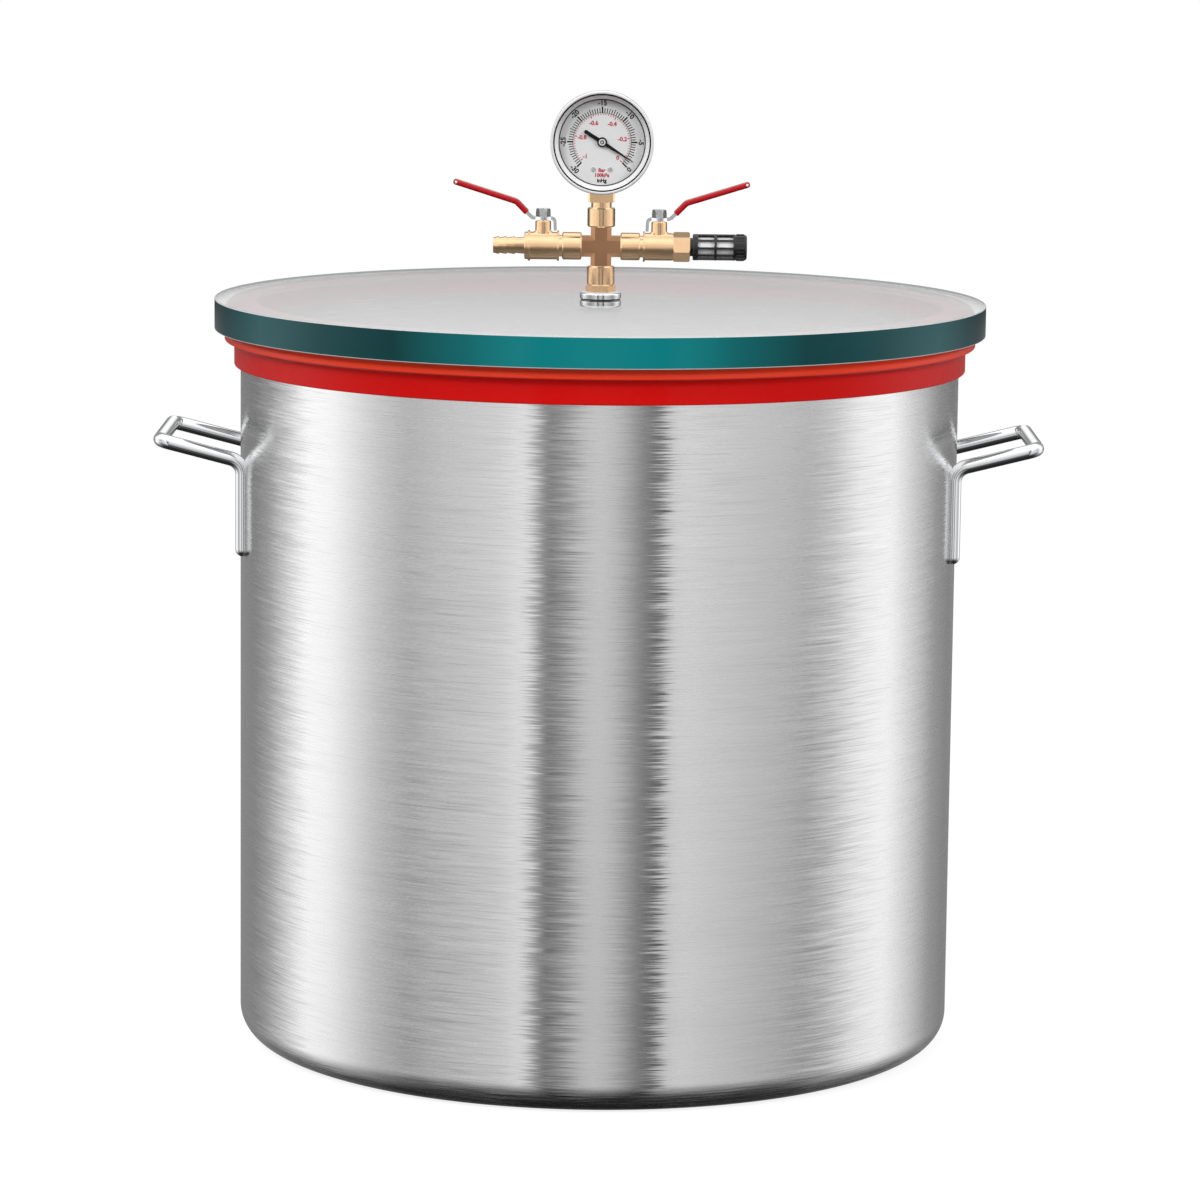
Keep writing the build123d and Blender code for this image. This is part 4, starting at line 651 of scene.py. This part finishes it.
LID_BACKDROP = [(0, 1), (26, 1), (34, 0), (180, 0)]
IN_FRONT = [(0, 0), (70, 0), (100, 1), (180, 1)]
THROUGH_GLASS = [(0, 1.0), (10, 0.98), (24, 0.16), (38, 0.10), (60, 0.30), (100, 0.35), (180, 0.4)]
WHITE = (1.0, 1.0, 1.0)


def world_cards(s, path):
    """What gloss and glass see: a ring of soft cards and dark flags, a canopy, and a backdrop for the lid."""
    x, y, z = s.split(s.node("TexCoord").outputs["Generated"])
    turn = s.math("ARCTAN2", x, s.math("MULTIPLY", y, -1.0))
    behind = s.math("SUBTRACT", pi, s.math("ABSOLUTE", turn))
    rise = s.math("ARCSINE", z)

    def by_turn(stops):
        part = s.remap(turn, -pi, pi, 0.0, 1.0)
        return s.ramp(part, [((angle + 180) / 360, card / BRIGHTEST) for angle, card in stops])

    def by_rise(stops):
        part = s.remap(rise, -pi / 2, pi / 2, 0.0, 1.0)
        return s.ramp(part, [((angle + 90) / 180, share) for angle, share in stops])

    def from_behind(stops, top=1.0):
        part = s.remap(behind, 0.0, pi, 0.0, 1.0)
        return s.ramp(part, [(angle / 180, share / top) for angle, share in stops])

    def climbing(low, high, to_low=0.0, to_high=1.0):
        return s.remap(rise, radians(low), radians(high), to_low, to_high)

    def between(start, whole, last, end):
        return s.math("MULTIPLY", climbing(start, whole), climbing(last, end, 1.0, 0.0))

    cards = s.mix(between(-5.6, -5.3, -2.6, -2.0), by_turn(CARDS), by_turn(UPPER_CARDS))
    ring = s.mix(1.0, cards, by_rise(HEIGHTS), "MULTIPLY")
    reach = s.math("MAXIMUM", from_behind(IN_FRONT), climbing(38.0, 58.0))
    ring = s.mix(s.math("MULTIPLY", by_rise(OVERHEAD), reach), ring, WHITE)
    backdrop = s.math("MULTIPLY", from_behind(BEHIND), climbing(4.75, 5.9, 0.32, 0.72))
    lid_view = s.mix(from_behind(LID_BACKDROP), ring, backdrop)
    ring = s.mix(between(1.0, 3.0, 12.0, 20.0), ring, lid_view)
    clear = from_behind(THROUGH_GLASS, BRIGHTEST)
    return s.mix(path.outputs["Is Transmission Ray"], ring, clear)


def studio_world():
    """White to the camera, cards to gloss and glass, plain and soft to the rest."""
    world = bpy.data.worlds.new("studio")
    bpy.context.scene.world = world
    world.use_nodes = True
    s = NodeTree(world.node_tree)
    s.tree.nodes.clear()

    def background(colour, strength):
        made = s.node("Background")
        s.feed(made.inputs["Color"], colour)
        s.feed(made.inputs["Strength"], strength)
        return made.outputs[0]

    path = s.node("LightPath")
    gloss = s.math("MAXIMUM", path.outputs["Is Glossy Ray"], path.outputs["Is Transmission Ray"])
    shown = background(world_cards(s, path), BRIGHTEST)
    lit = s.blend(gloss, background(WHITE + (1.0,), 0.55), shown)
    seen = s.blend(path.outputs["Is Camera Ray"], lit, background(WHITE + (1.0,), 1.0))
    s.feed(s.node("OutputWorld").inputs["Surface"], seen)


def studio_floor():
    """A pale floor that keeps a soft shadow and is white where nothing shades it."""
    size = 6.0
    corners = [(-size, -size, 0), (size, -size, 0), (size, size, 0), (-size, size, 0)]
    mesh = bpy.data.meshes.new("floor")
    mesh.from_pydata(corners, [], [(0, 1, 2, 3)])
    floor = bpy.data.objects.new("floor", mesh)
    bpy.context.scene.collection.objects.link(floor)
    s = Shader("floor_paint", Roughness=1.0, Specular_IOR_Level=0.0)
    s.set(Base_Color=s.mix(s.noise(3.0), (0.34, 0.34, 0.34), (0.36, 0.36, 0.36)))
    glow = s.node("Emission")
    s.feed(glow.inputs["Strength"], 0.80)
    both = s.node("AddShader")
    s.feed(both.inputs[0], s.principled.outputs[0])
    s.feed(both.inputs[1], glow.outputs[0])
    path = s.node("LightPath")
    s.finish_with(s.blend(path.outputs["Is Camera Ray"], s.principled.outputs[0], both.outputs[0]))
    mesh.materials.append(s.material)
    hide_from(floor, "glossy", "transmission")


def softbox(name, place, power, size):
    """A square lamp that points at the pot and is seen by no camera, gloss or glass."""
    aim = Vector((0.0, 0.0, 0.3))
    light = bpy.data.lights.new(name, "AREA")
    light.shape = "SQUARE"
    light.size = size
    light.energy = power
    lamp = bpy.data.objects.new(name, light)
    bpy.context.scene.collection.objects.link(lamp)
    lamp.location = place
    lamp.rotation_mode = "QUATERNION"
    lamp.rotation_quaternion = (aim - Vector(place)).to_track_quat("-Z", "Y")
    hide_from(lamp, "glossy", "transmission", "camera")


def studio_camera():
    """A long lens a little above the lid, with its angles in radians."""
    place = Vector((0.0, -3.09396, 0.75112))
    yaw, pitch, roll = 0.0006, 0.1519, 0.0112
    forward = Vector((sin(yaw) * cos(pitch), cos(yaw) * cos(pitch), -sin(pitch)))
    level = Vector((cos(yaw), -sin(yaw), 0.0))
    upward = level.cross(forward)
    right = level * cos(roll) + upward * sin(roll)
    up = upward * cos(roll) - level * sin(roll)
    data = bpy.data.cameras.new("camera")
    data.sensor_width = 36.0
    data.lens = 148.38
    camera = bpy.data.objects.new("camera", data)
    bpy.context.scene.collection.objects.link(camera)
    camera.matrix_world = Matrix.Translation(place) @ Matrix((right, up, -forward)).transposed().to_4x4()
    bpy.context.scene.camera = camera


dress()
keep_lid_clear()
pot()
gasket()
lid()
bezel()
outer_scale()
inner_scale()
outer_numbers()
inner_numbers()
units()
pointer_cap()
studio_world()
studio_floor()
softbox("key", (-1.6, -2.2, 2.2), 45.0, 1.6)
softbox("fill", (1.9, -1.9, 1.6), 25.0, 1.4)
studio_camera()
bpy.context.scene.view_settings.view_transform = "Standard"
